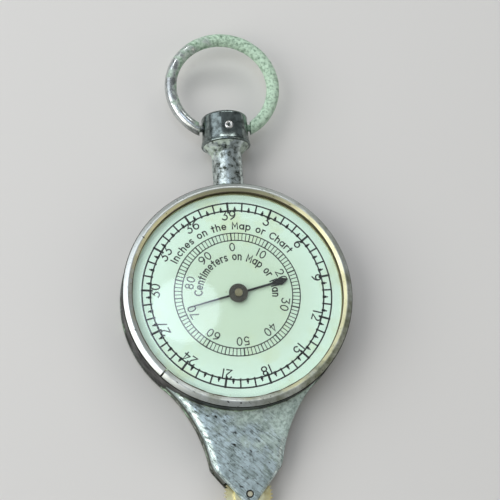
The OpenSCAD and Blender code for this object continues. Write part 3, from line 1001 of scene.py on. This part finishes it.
@dataclass
class CrystalDome:
    """The domed crystal with the flat flange that the bezel holds down."""

    flange_r: float = 15.41
    seat_r: float = 14.6
    dome_r: float = 15.05
    low_z: float = 5.9
    flange_z: float = 6.2
    apex_z: float = 7.85
    wall: float = 0.6

    def build(self, acrylic: Material) -> None:
        """Builds the dome: a sphere's cap outside and a concentric one inside, turned about the axis.

        Args:
            acrylic: The material of the crystal.
        """
        rise = self.apex_z - self.flange_z
        sphere = (self.dome_r**2 + rise**2) / (2 * rise)
        middle_z = self.apex_z - sphere
        outer_r = np.linspace(0.0, self.dome_r, 48)
        outer = np.stack([outer_r, middle_z + np.sqrt(sphere**2 - outer_r**2)], -1)
        inner_r = np.linspace(self.seat_r, 0.0, 48)
        inner = np.stack([inner_r, middle_z + np.sqrt((sphere - self.wall) ** 2 - inner_r**2)], -1)
        inner[:, 1] = np.maximum(inner[:, 1], self.low_z)
        flange = [[self.flange_r, self.flange_z], [self.flange_r, self.low_z]]
        piece = make_piece("crystal_dome", [turned(np.concatenate([outer, flange, inner]), sides=240)])
        seat(piece, "case", "crystal", acrylic, "crystal")


@dataclass
class BezelBand:
    """The split spring band, bevelled outwards, that holds the crystal."""

    out_r: float = 15.95
    in_r: float = 14.75
    low_z: float = 6.2
    top_z: float = 6.8
    split_clock: float = 225.3
    split_w: float = 0.25
    bevel: float = 58.0
    inner_bevel: float = 122.0
    corner_r: float = 0.15
    crest_r: float = 0.27
    foot_h: float = 0.1
    foot_slope: float = 0.32
    foot_edge: float = 0.05
    dents: float = 0.02
    dents_from: float = 0.3
    dirt_w: float = 0.12
    dirt_t: float = 0.035
    dirt_z: float = 0.27
    dirt_swell: float = 0.25

    def section(self) -> np.ndarray:
        """The band's section, counted from the middle of its foot.

        It has a small round corner outside and a larger round crest, and the bevel is the
        line that touches both. Inside, a second line falls from the crest at its own angle.

        Returns:
            Distance outwards and height of each point.
        """
        half = (self.out_r - self.in_r) / 2
        rise = self.top_z - self.low_z
        turn = math.radians(self.bevel)
        rounder = self.crest_r - self.corner_r
        climb = rise - self.crest_r - self.corner_r + rounder * math.sin(turn)
        crest_x = half - self.corner_r - climb * math.tan(turn) - rounder * math.cos(turn)
        corner = arc(half - self.corner_r, self.corner_r, self.corner_r, self.corner_r, 0, self.bevel, 5)
        crest = arc(crest_x, rise - self.crest_r, self.crest_r, self.crest_r, self.bevel, self.inner_bevel)
        fall = (crest[-1][0] + half) * math.tan(math.radians(self.inner_bevel - 90))
        foot = [
            [-half, crest[-1][1] - fall],
            [-half, self.foot_h],
            [-half + self.foot_slope, 0.0],
            [half - self.foot_edge, 0.0],
            [half, self.foot_edge],
        ]
        return np.concatenate([corner, crest, foot])

    def build(self, nickel: Material, dirt: Material) -> None:
        """Builds the band and the line of old dirt along its inner foot.

        The band is its section carried round the dial from one side of the split to the
        other, and its upper part is dented. The dirt is a flat ellipse carried round the
        dial, whose width wanders.

        Args:
            nickel: The material of the band.
            dirt: The material of the dirt.
        """
        mid_r = (self.out_r + self.in_r) / 2
        gap = self.split_w / mid_r / 2
        start = math.radians(90 - self.split_clock)
        angle = np.linspace(start + gap, start + 2 * np.pi - gap, 361)
        out = np.stack([np.cos(angle), np.sin(angle), np.zeros_like(angle)], -1)
        up = np.tile([0.0, 0.0, 1.0], (len(angle), 1))
        grid = carried(out * mid_r + up * self.low_z, out, up, self.section())
        worn = self.dents * np.minimum(wander(grid, 5.0, 1), 0.0)
        grid[..., 2] += worn * (grid[..., 2] > self.low_z + self.dents_from)
        seat(make_piece("bezel_band", [rod(grid)]), "case", "nickel", nickel, "bezel_ring")
        path = out * self.in_r + up * (self.low_z + self.dirt_z)
        bead = oval(0.0, 0.0, self.dirt_w, self.dirt_t, 10)
        swell = 1 + self.dirt_swell * np.clip(wander(path, 2.0, 2), -1, 1)
        line = rod(carried(path, out, up, bead * swell[:, None, None]))
        seat(make_piece("crystal_dirt_line", [line]), "case", "dark_nickel", dirt)


@dataclass
class BorderHoop:
    """The thin brass hoop between dial and crystal, which sits a little off the middle."""

    out_r: float = 15.41
    in_r: float = 14.6
    low_z: float = 5.452
    top_z: float = 5.9
    off: Pair = (-0.1, -0.2)
    lip: float = 0.08

    def build(self, brass: Material) -> None:
        """Builds the hoop: its three inner corners move by the offset, and the rest stays round.

        Args:
            brass: The material of the hoop.
        """
        profile = np.array(
            [
                [self.in_r, self.low_z],
                [self.in_r, self.top_z - self.lip],
                [self.in_r + self.lip, self.top_z],
                [self.out_r, self.top_z],
                [self.out_r, self.low_z],
            ]
        )
        skin = turned(profile, sides=240, closed=True)
        skin.points[:, :3, :2] += np.array(self.off)
        seat(make_piece("border_hoop", [skin]), "case", "brass", brass, "dial_hoop")


# ---- Case -----------------------------------------------------------------


@dataclass
class CoverPressing:
    """The front of the extension: one pressing with two curved flanks and a tapered tip."""

    case_r: float = 16.05
    bite: float = 0.06
    flank_bite: float = 0.03
    tip_dist: float = 27.3
    tip_r: float = 1.33
    tip_angle: float = 39.3
    waist_half: float = 4.6
    waist_y: float = 26.5
    rim_z: float = 1.2
    back_z: float = 0.52
    inside_z: float = 3.4
    face_z: float = 3.9
    sheet_t: float = 0.5
    flank_w: float = 0.8
    flank_d: float = 0.55
    edge_w: float = 0.25
    bevel_power: float = 1.35
    wheel_reach: float = 3.3
    pivot_r: float = 0.46
    sink_r: float = 0.58
    sink_depth: float = 0.12
    # Painted shade round the axle: radii and thickness of the black ring in the sink.
    oil_r: Pair = (0.36, 0.52)
    oil_t: float = 0.06
    wall_soften: int = 12
    edge_soften: int = 9
    inside_soften: int = 6
    flank_steps: int = 140
    edge_steps: int = 60
    tip_steps: int = 24
    face_steps: int = 15

    def plan(self, flank_in: float, edge_in: float, soften: int) -> np.ndarray:
        """Right half of the plan at one level, from the drum down to the tip.

        The flank is an arc of a circle that stands beside the extension, and its radius
        grows by the flank's inset. The straight edge and the round tip come in by the
        edge's inset. The corner between flank and edge is a moving mean of the points.

        Args:
            flank_in: How far the flank lies inside the plan of the wall.
            edge_in: How far the edge and the tip lie inside it.
            soften: Points on each side that the corner's mean takes in.

        Returns:
            Points of the half outline, in the same number at every level.
        """
        reach = self.case_r - self.flank_bite
        flank_r = (self.waist_half**2 + self.waist_y**2 - reach**2) / (2 * (reach - self.waist_half))
        middle = np.array([self.waist_half + flank_r, -self.waist_y])
        radius = flank_r + flank_in
        turn = math.radians(self.tip_angle)
        normal = np.array([math.cos(turn), -math.sin(turn)])
        edge = np.array([math.sin(turn), math.cos(turn)])
        foot = np.array([0.0, -self.tip_dist]) + (self.tip_r - edge_in) * normal
        away = foot - middle
        half_b = away @ edge
        corner = foot + (-half_b - math.sqrt(half_b**2 - (away @ away - radius**2))) * edge
        drum_r = self.case_r - self.bite
        dist = math.hypot(*middle)
        spread = math.acos(min(1.0, (radius**2 + dist**2 - drum_r**2) / (2 * radius * dist)))
        high = math.atan2(self.waist_y, middle[0]) - spread
        low = math.atan2(corner[1] - middle[1], middle[0] - corner[0])
        angle = np.linspace(high, low, self.flank_steps + 1)
        flank = middle + radius * np.stack([-np.cos(angle), np.sin(angle)], -1)
        line = corner + np.linspace(0, 1, self.edge_steps + 1)[1:, None] * (foot - corner)
        bend = np.radians(np.linspace(-self.tip_angle, -90, self.tip_steps + 1))[1:, None]
        round_tip = np.concatenate([np.cos(bend), np.sin(bend)], 1)
        tip = [0.0, -self.tip_dist] + (self.tip_r - edge_in) * round_tip
        whole = np.concatenate([flank, line, tip])
        kernel = np.ones(2 * soften + 1) / (2 * soften + 1)
        mean = np.stack([np.convolve(whole[:, k], kernel, "same") for k in (0, 1)], -1)
        from_corner = np.abs(np.arange(len(whole)) - self.flank_steps)
        near = np.clip(1.6 - from_corner / (soften + 1), 0, 1)[:, None]
        return whole * (1 - near) + mean * near

    def wall_foot(self) -> np.ndarray:
        """Plan of the right wall along its lower edge, from the drum to the wheel."""
        return self.plan(0.0, 0.0, self.wall_soften)[6 : self.flank_steps + 8]

    def shell(self) -> Skin:
        """The pressing as one closed skin.

        Each row starts under the right wall, climbs the wall, turns over the rounded edge,
        crosses the face and comes down on the left, then returns along the inside. Across
        the face, height along the body follows the drum's circle at the top and flattens
        towards the tip.

        Returns:
            The skin, which closes on itself at the tip.
        """
        outer = self.plan(0.0, 0.0, self.wall_soften)
        rows = len(outer)
        turn = math.radians(self.tip_angle)
        foot = np.array([0.0, -self.tip_dist]) + self.tip_r * np.array([math.cos(turn), -math.sin(turn)])
        past = np.arange(rows) > self.flank_steps
        in_tip = np.arange(rows) > self.flank_steps + self.edge_steps
        over_wheel = past & (np.linalg.norm(outer - foot, axis=1) < self.wheel_reach) | in_tip
        bottom = np.where(over_wheel, self.inside_z, np.where(past, self.back_z, self.rim_z))
        side = [raised(outer, bottom)]
        depth = np.concatenate([[1.0], np.linspace(0.75, 0.3125, 4), np.linspace(0.2, 0.0, 5)])
        power = self.bevel_power
        for d in depth * self.flank_d:
            flank_in, edge_in = (
                width * (1 - (1 - max(1 - d / deep, 0.0) ** power) ** (1 / power))
                for width, deep in ((self.flank_w, self.flank_d), (self.edge_w, self.edge_w))
            )
            side.append(raised(self.plan(flank_in, edge_in, self.edge_soften), self.face_z - d))
        rim = side[-1]
        side_x, side_y = rim[:, 0], rim[:, 1]
        radius = self.case_r - self.bite
        middle_y = -radius + (side_y[-1] + radius) * np.linspace(0, 1, rows)
        sag = radius - np.sqrt(radius**2 - side_x**2)
        for share in np.linspace(1, 0, self.face_steps + 1)[1:]:
            x = side_x * share
            bow = (radius - np.sqrt(radius**2 - x**2)) / np.maximum(sag, 1e-9)
            y = middle_y + (side_y - middle_y) * bow
            side.append(raised(np.stack([x, y], -1), self.face_z))
        wall = self.plan(self.sheet_t, self.sheet_t, self.inside_soften)
        wall[over_wheel] = outer[over_wheel]
        under = raised(wall, self.inside_z)
        inner = [under * [0.5, 1, 1], under, raised(wall, bottom)]
        mirror = np.array([-1.0, 1.0, 1.0])
        left = [column * mirror for column in side[-2::-1]]
        back = [column * mirror for column in inner[::-1]]
        return Skin(np.stack(side + left + back + inner, 1), ring_columns=True, cap_start=True)

    def build(self, nickel: Material, sink_shade: Material) -> None:
        """Builds the pressing, bores the axle's hole and its sink, and lays a ring of painted shade in the
        sink.

        The painted shade is a black flat ellipse turned about the axle, where the hole round the pin lies in
        shade.

        Args:
            nickel: The material of the pressing.
            sink_shade: The material of the painted shade in the sink.
        """
        piece = make_piece("cover_pressing", [self.shell()])
        top = self.face_z + 1
        sink_z = self.face_z - self.sink_depth
        for radius, low in ((self.pivot_r, self.inside_z - 0.5), (self.sink_r, sink_z)):
            profile = np.array([[0.0, low], [radius, low], [radius, top], [0.0, top]])
            bit = make_piece("bit", [turned(profile, centre=(0.0, -self.tip_dist, 0.0), sides=48)])
            cut = piece.modifiers.new("bore", "BOOLEAN")
            cut.object, cut.operation, cut.solver = bit, "DIFFERENCE", "EXACT"
            final = piece.evaluated_get(bpy.context.evaluated_depsgraph_get())
            shaped = bpy.data.meshes.new_from_object(final)
            piece.modifiers.clear()
            piece.data = shaped
            bpy.data.objects.remove(bit)
        seat(piece, "case", "nickel", nickel, "front_cover")
        # Painted shade: a black ring round the axle in its sink.
        half = (self.oil_r[1] - self.oil_r[0]) / 2
        bead = oval(self.oil_r[0] + half, 0.0, half, self.oil_t, 12)
        ring = turned(bead, centre=(0.0, -self.tip_dist, sink_z), sides=48, closed=True)
        seat(make_piece("pivot_sink_shade", [ring]), "case", "dark_nickel", sink_shade)


@dataclass
class SolderSeams:
    """Rough seams where plated parts meet: solder at the neck and growth along the cover."""

    case_r: float = 16.05
    neck_r: float = 2.2
    neck_z: float = 3.62
    cover_half: float = 9.2
    cover_z: float = 3.9
    foot_z: float = 1.35
    solder_r: float = 0.17
    growth_r: float = 0.085
    foot_r: float = 0.1
    lump_size: Pair = (0.7, 2.5)
    lump: Pair = (0.33, 0.25)

    def bead(self, name: str, path: np.ndarray, radius: float, closed: bool, seed: int) -> Object:
        """A lumpy bead: a circle carried along a path, whose radius wanders in two sizes of lump.

        Args:
            name: Name of the piece.
            path: Points of the path.
            radius: Mean radius of the bead.
            closed: True where the path runs round to its start.
            seed: Seed of the lumps.

        Returns:
            The bead.
        """
        run = np.gradient(path, axis=0)
        if closed:
            run = np.roll(path, -1, 0) - np.roll(path, 1, 0)
        run /= np.linalg.norm(run, axis=1, keepdims=True)
        out = np.cross(run, [0.0, 0.0, 1.0]) + 1e-6
        out /= np.linalg.norm(out, axis=1, keepdims=True)
        up = np.cross(out, run)
        grid = carried(path, out, up, oval(0, 0, radius, radius, 12))
        short = self.lump[0] * wander(grid, self.lump_size[0], seed)
        swell = 1 + short + self.lump[1] * wander(path, self.lump_size[1], seed + 1)[:, None]
        grid = path[:, None] + (grid - path[:, None]) * np.clip(swell, 0.25, 1.7)[..., None]
        skin = Skin(grid, ring_rows=closed, ring_columns=True, cap_start=not closed, cap_end=not closed)
        return make_piece(name, [skin], 60)

    def build(self, wall: np.ndarray, growth: Material) -> None:
        """Lays the seams.

        Args:
            wall: Plan of the cover's right wall, from the drum down.
            growth: The material of the solder and of the growth on it.
        """
        turn = np.linspace(0, 2 * np.pi, 120, endpoint=False)
        x = self.neck_r * np.cos(turn)
        path = np.stack([x, np.sqrt(self.case_r**2 - x**2), self.neck_z + self.neck_r * np.sin(turn)], -1)
        seat(self.bead("neck_seam", path, self.solder_r, True, 10), "case", "nickel", growth)
        swing = np.linspace(-1, 1, 200) * math.asin(self.cover_half / self.case_r)
        x, y = self.case_r * np.sin(swing), -self.case_r * np.cos(swing)
        path = raised(np.stack([x, y], -1), self.cover_z)
        seat(self.bead("cover_seam", path, self.growth_r, False, 20), "case", "nickel", growth)
        foot = raised(wall, self.foot_z)
        for name, side in (("wall_seam_right", 1), ("wall_seam_left", -1)):
            bead = self.bead(name, foot * [side, 1, 1], self.foot_r, False, 30 + side)
            seat(bead, "case", "nickel", growth)


# ---- Cap and bow ring -----------------------------------------------------


@dataclass
class CapPressing:
    """The cap over the neck's end: a drawn cup that flares to a rolled lip at its mouth."""

    mouth_y: float = 22.55
    centre_z: float = 3.62
    body_r: float = 3.36
    length: float = 4.6
    crown: float = 0.5
    flare_out: float = 0.165
    flare_top: float = 1.75
    groove_h: float = 0.4
    groove_d: float = 0.06
    groove_w: float = 0.05
    lip_r: float = 3.57
    lip_out: float = 0.13
    lip_h: float = 0.32
    bore_r: float = 2.22
    bore_len: float = 3.9

    def build(self, nickel: Material) -> None:
        """Builds the cap, turned about the neck's axis.

        In the flare, the radius grows by the square of the distance below its top.

        Args:
            nickel: The material of the cap.
        """
        inner = self.body_r - self.crown
        crown = arc(inner, self.length - self.crown, self.crown, self.crown, 90, 0, 9)
        height = np.linspace(self.flare_top, self.groove_h, 14)
        share = (self.flare_top - height) / (self.flare_top - self.groove_h)
        flare = np.stack([self.body_r + self.flare_out * share**2, height], -1)
        groove = [[self.body_r + self.flare_out - self.groove_d, self.groove_h - self.groove_w]]
        lip = arc(self.lip_r - self.lip_out, self.lip_h / 2, self.lip_out, self.lip_h / 2, 80, -90)
        bore = [[self.bore_r, 0.0], [self.bore_r, self.bore_len], [0.0, self.bore_len]]
        profile = np.concatenate([[[0.0, self.length]], crown, flare, groove, lip, bore])
        skin = turned(profile, Axis.ALONG_BODY, (0.0, self.mouth_y, self.centre_z), 120)
        seat(make_piece("cap_pressing", [skin]), "case", "dark_nickel", nickel, "cap")


@dataclass
class RivetRim:
    """The rolled rim of the hollow rivet that crosses the cap and the neck."""

    centre: Vec = (0.2, 24.7, 7.02)
    mid_r: float = 0.41
    roll_r: float = 0.16

    def build(self, nickel: Material) -> None:
        """Builds the rim: a small circle turned about the rivet's axis.

        Args:
            nickel: The material of the rivet.
        """
        roll = oval(self.mid_r, 0.0, self.roll_r, self.roll_r * 0.8, 14)
        rim = turned(roll, centre=self.centre, sides=48, closed=True)
        seat(make_piece("rivet_rim", [rim]), "case", "nickel", nickel)


@dataclass
class BowRing:
    """The wire ring that the instrument hangs by, with flat-cut ends and two pivots."""

    centre_y: float = 31.95
    centre_z: float = 3.62
    ring_r: float = 7.55
    wire_r: float = 0.87
    end_x: float = 3.77
    pivot_y: float = 25.45
    pivot_r: float = 0.5
    pivot_in: float = 2.3
    pivot_tip: float = 0.12
    pivot_past: float = 0.4
    lumps: Pair = (0.014, 0.01225)
    lump_size: Pair = (1.3, 0.5)
    crust: float = 0.08
    crust_turn: float = 40.0
    crust_fall: float = 1.5
    crust_fade: float = 30.0
    wire_sides: int = 40
    ring_steps: int = 260

    def build(self, nickel: Material) -> None:
        """Builds the ring: the wire's circle carried round the ring's circle.

        Each line along the wire starts where it meets the flat end, at the angle whose
        sine is the end's distance over the line's own distance from the ring's middle.

        Args:
            nickel: The material of the ring.
        """
        round_wire = np.linspace(0, 2 * np.pi, self.wire_sides, endpoint=False)[None, :]
        reach = self.ring_r + self.wire_r * np.cos(round_wire)
        first = np.arcsin(self.end_x / reach)
        share = np.linspace(0, 1, self.ring_steps)[:, None]
        swing = first + share * (2 * np.pi - 2 * first) - np.pi / 2
        flat = np.stack([np.cos(swing), np.sin(swing), np.zeros_like(swing)], -1)
        middle = flat * self.ring_r
        out = flat * np.cos(round_wire)[..., None] + np.array([0, 0, 1.0]) * np.sin(round_wire)[..., None]
        grid = middle + out * self.wire_r + np.array([0.0, self.centre_y, self.centre_z])
        # The growth is thickest over the top and the right, and thin on the left and at the ends.
        turn = swing - math.radians(self.crust_turn)
        where = np.clip(0.5 + 0.5 * np.cos(turn), 0, 1) ** self.crust_fall
        lumps = [self.lumps[k] * wander(grid, self.lump_size[k], 3 + k) for k in (0, 1)]
        swell = where * (self.crust + lumps[0] + lumps[1])
        swell *= np.clip(np.minimum(share, 1 - share) * self.crust_fade, 0, 1)
        grid += out * swell[..., None]
        skins = [rod(grid)]
        tip, root = self.pivot_tip, self.end_x + self.pivot_past
        profile = np.array(
            [
                [0, self.pivot_in],
                [self.pivot_r - tip, self.pivot_in],
                [self.pivot_r, self.pivot_in + tip],
                [self.pivot_r, root],
                [0, root],
            ]
        )
        pivot_middle = (0, self.pivot_y, self.centre_z)
        skins += [turned(profile * [1, side], Axis.ACROSS_BODY, pivot_middle, 40) for side in (-1, 1)]
        seat(make_piece("bow_ring_wire", skins, 45), "ring", "nickel", nickel, "bow_ring")


# ---- Finishes of the frame's own pieces -----------------------------------


@dataclass
class FramePieces:
    """The pieces that the frame already shapes, each with the finish of its own metal."""

    nodes: dict[str, Object]
    finishes: tuple[tuple[str, str], ...] = (
        # the drum's side is coloured near black as painted shade
        ("nickel_painted_shade_side", "case_drum front_cover bezel_ring bow_ring"),
        ("nickel_dull_rim", "back_shell"),
        ("nickel_pitted_neck", "neck"),
        ("nickel_bright_pin", "cross_pin"),
        ("nickel_dark_cap", "cap"),
        ("brass_milled", "bottom_plate top_plate pillars centre_bush spacer_ring dial_hoop"),
        ("brass_milled", "first_gear second_gear centre_wheel"),
        ("brass_worn_wheel", "tracing_wheel"),
        ("brass_bright_axle", "wheel_axle"),
        ("brass_dull_arbor", "needle_arbor"),
        ("steel_turned", "plate_screws first_pinion first_arbor second_pinion second_arbor"),
        ("steel_blackened", "needle_blade"),
        ("steel_browned_hub", "needle_hub"),
        ("dial_stained_enamel", "dial"),
        ("crystal_moulded_acrylic", "crystal"),
    )

    def dress(self, mixed: dict[str, Material]) -> None:
        """Puts its finish in every slot of each piece.

        Args:
            mixed: The finishes by name.
        """
        for finish, names in self.finishes:
            for name in names.split():
                for slot in self.nodes[name].material_slots:
                    slot.material = mixed[finish]
                log.info("%s: %s", name, finish)


# ---- Studio ---------------------------------------------------------------


class LampShape(Enum):
    """The outline of a soft lamp."""

    SQUARE = "SQUARE"
    DISK = "DISK"
    RECTANGLE = "RECTANGLE"


@dataclass
class Lamp:
    """A soft lamp: where it stands, what it looks at, its size, its power and its shape."""

    name: str
    place: Vec
    side: float
    power: float
    colour: str = "#FFFFFF"
    shape: LampShape = LampShape.SQUARE
    height: float = 0.0
    target: Vec = (0.0, 0.0, 5.0)

    def hang(self) -> None:
        """Hangs the lamp, turned to its target."""
        data = bpy.data.lights.new(self.name, "AREA")
        data.shape = self.shape.value
        data.size = self.side * MM
        if self.height:
            data.size_y = self.height * MM
        data.energy = self.power
        data.color = linear(self.colour)[:3]
        lamp = bpy.data.objects.new(self.name, data)
        bpy.context.scene.collection.objects.link(lamp)
        place = np.array(self.place) * MM
        back = place - np.array(self.target) * MM
        back /= np.linalg.norm(back)
        right = np.cross([0.0, 1.0, 0.0], back)
        right /= np.linalg.norm(right)
        up = np.cross(back, right)
        turn = np.eye(4)
        turn[:3, 0], turn[:3, 1], turn[:3, 2], turn[:3, 3] = right, up, back, place
        lamp.matrix_world = Matrix(turn.tolist())


@dataclass
class Studio:
    """A pale floor, an even sky, soft lamps and the camera."""

    floor_half: float = 900.0
    floor_z: float = -0.02
    floor_colour: str = "#DAD8D4"
    sky: str = "#C2C6CA"
    sky_strength: float = 0.5
    eye: Vec = (-23.24, -44.96, 179.6)
    right: Vec = (0.98986, -0.06980, 0.12373)
    up: Vec = (0.03168, 0.95750, 0.28670)
    back: Vec = (-0.13849, -0.27987, 0.95000)
    lens: float = 93.91
    lamps: tuple[Lamp, ...] = (
        Lamp("window_left", (-420.0, -95.0, 360.0), 480.0, 1.6, "#FFFDF8"),
        Lamp("window_corner", (-390.0, 215.0, 340.0), 500.0, 0.95, "#EEF4FF"),
        Lamp("soft_overhead", (-70.0, 85.0, 500.0), 170.0, 0.19, "#DDEAFF", LampShape.DISK),
        Lamp("fill_right", (380.0, -160.0, 320.0), 320.0, 0.25, "#FFF6E8"),
        Lamp("strip_behind", (40.0, 420.0, 330.0), 560.0, 0.7, "#FFFFFF", LampShape.RECTANGLE, 95.0),
    )

    def lay_floor(self) -> None:
        """Lays the floor just under the back face."""
        side = np.array([-self.floor_half, self.floor_half])
        x, y = np.meshgrid(side, side)
        corners = np.stack([x, y, np.full((2, 2), self.floor_z)], -1)
        floor = make_piece("studio_floor", [Skin(corners)])
        floor.data.materials.append(PlainFinish("floor_painted_board", self.floor_colour, 0.7).make())

    def hang_sky(self) -> None:
        """Sets the even light that comes from all sides."""
        world = bpy.data.worlds.new("studio_sky")
        world.use_nodes = True
        tree = world.node_tree
        tree.nodes.clear()
        sky = add_node(tree, "Background", {}, {"Color": linear(self.sky), "Strength": self.sky_strength})
        add_node(tree, "OutputWorld", {}, {"Surface": sky.outputs[0]})
        bpy.context.scene.world = world

    def place_camera(self) -> None:
        """Places the camera by its eye point and its three directions."""
        data = bpy.data.cameras.new("camera")
        data.sensor_width = 36.0
        data.sensor_fit = "HORIZONTAL"
        data.lens = self.lens
        data.clip_start = 0.005
        data.clip_end = 10.0
        camera = bpy.data.objects.new("camera", data)
        bpy.context.scene.collection.objects.link(camera)
        pose = np.eye(4)
        pose[:3, 0], pose[:3, 1], pose[:3, 2] = self.right, self.up, self.back
        pose[:3, 3] = np.array(self.eye) * MM
        camera.matrix_world = Matrix(pose.tolist())
        bpy.context.scene.camera = camera

    def build(self) -> None:
        """Builds the studio."""
        self.lay_floor()
        self.hang_sky()
        for lamp in self.lamps:
            lamp.hang()
        self.place_camera()
        bpy.context.scene.view_settings.view_transform = "Standard"


def recipes() -> tuple[WornNickel | AgedMetal | StainedEnamel | PlainFinish | OldCrystal, ...]:
    """Every finish of the instrument, with what sets one plated part apart from the next.

    Returns:
        The finishes.
    """
    band = WornNickel(
        "nickel_polished_band",
        bright="#DADFDA",
        tarnish="#7C8069",
        tarnish_from=0.66,
        tarnish_soft=0.18,
        # Tarnish grows to the right: real tarnish, made heavier there as painted shade that dims the band's
        # right side.
        tarnish_lean=(0.014, -0.007, 0.0),
        pits=0.4,
        scratches=0.12,
        roughness=0.33,
        bare_within=15.3,
        bare_brass="#C9C7A2",
    )
    neck = WornNickel(
        "nickel_pitted_neck",
        bright="#D0DCD9",
        tarnish="#3F443D",
        tarnish_size=0.7,
        tarnish_from=0.54,
        tarnish_soft=0.1,
        pits=0.6,
        scratches=0.2,
        roughness=0.24,
        green="#C5D2C4",
        green_dark="#8C9B8A",
        green_from=1.6,
        green_lean=(0.0, 0.05, 0.0),
    )
    cover = WornNickel(
        "nickel_scratched_cover",
        bright="#DCECEA",
        tarnish="#66746F",
        tarnish_size=0.9,
        tarnish_from=0.58,
        tarnish_soft=0.18,
        roughness=0.28,
        scratches=0.72,
        pits=1.1,
        green="#C6D8CF",
        green_dark="#84988E",
        green_from=-0.18,
        green_soft=0.13,
        green_lean=(0.03, 0.04, 0.0),
        mottle_size=0.4,
        # the cover's walls below this height get painted shade
        unpolished_z=3.2,
    )
    cap = WornNickel(
        "nickel_dark_cap",
        bright="#87928F",
        tarnish="#262B29",
        tarnish_size=0.8,
        tarnish_from=0.56,
        roughness=0.11,
        scratches=0.1,
    )
    ring = WornNickel(
        "nickel_green_ring",
        bright="#C8CCCB",
        tarnish="#4C5148",
        pits=0.3,
        roughness=0.16,
        green="#C4DEC5",
        green_dark="#5E7A62",
        green_from=0.75,
        green_soft=0.09,
        green_lean=(0.03, 0.012, 0.0),
        mottle_size=0.45,
        mottle_from=0.45,
        mottle_lean=(-0.005, 0.001, 0.0),
    )
    seam = WornNickel(
        "nickel_crusted_seam",
        bright="#A9ADA3",
        tarnish="#5D5F52",
        tarnish_size=0.8,
        tarnish_from=0.5,
        green_from=0.5,
        roughness=0.4,
    )
    # The drum's side: nickel coloured near black as painted shade of the side wall, with darker tarnish
    # patches.
    side = WornNickel(
        "nickel_painted_shade_side", bright="#3A3831", tarnish="#191815", tarnish_from=0.5, roughness=0.3
    )
    rim = WornNickel(
        "nickel_dull_rim", bright="#8C8F84", tarnish="#3E3D35", tarnish_from=0.52, green_from=0.6
    )
    return (
        band,
        neck,
        cover,
        cap,
        ring,
        seam,
        side,
        rim,
        WornNickel("nickel_bright_pin", bright="#E2E2DE", tarnish_from=0.8, pits=0.0),
        AgedMetal("brass_milled", "#C9B474", "#75643C"),
        AgedMetal("brass_lacquered_hoop", "#CFC996", "#98906A", 0.3, 3.0),
        AgedMetal("brass_worn_wheel", "#F8F3C9", "#D6CA92"),
        AgedMetal("brass_bright_axle", "#F0EBD2", "#CFC7A2", 0.25),
        AgedMetal("brass_dull_arbor", "#A9A27F", "#6C6752"),
        AgedMetal("steel_turned", "#C9CBCE", "#7B7C7E", 0.25),
        PlainFinish("steel_blackened", "#171816", 0.38, 0.2),
        PlainFinish("steel_browned_hub", "#45443B", 0.42, 0.6),
        PlainFinish("dirt_packed_dark", "#4A4432", 0.7),
        # Black of the painted shade round the axle.
        PlainFinish("sink_painted_shade_black", "#14130F", 0.6),
        PlainFinish("print_dark_ink", "#0F1614", 0.5),
        StainedEnamel(),
        OldCrystal(),
    )


def main() -> None:
    """Builds every sub-assembly in order and reports it."""
    logging.basicConfig(level=logging.INFO, format="%(name)s: %(message)s")
    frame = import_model()
    mixed = {recipe.name: recipe.make() for recipe in recipes()}
    FramePieces(frame["nodes"]).dress(mixed)
    PrintedDial().build(mixed["print_dark_ink"])
    CrystalDome().build(mixed["crystal_moulded_acrylic"])
    BorderHoop().build(mixed["brass_lacquered_hoop"])
    BezelBand().build(mixed["nickel_polished_band"], mixed["dirt_packed_dark"])
    CapPressing().build(mixed["nickel_dark_cap"])
    RivetRim().build(mixed["nickel_bright_pin"])
    cover = CoverPressing()
    cover.build(mixed["nickel_scratched_cover"], mixed["sink_painted_shade_black"])
    SolderSeams().build(cover.wall_foot(), mixed["nickel_crusted_seam"])
    BowRing().build(mixed["nickel_green_ring"])
    Studio().build()


if __name__ == "__main__":
    main()
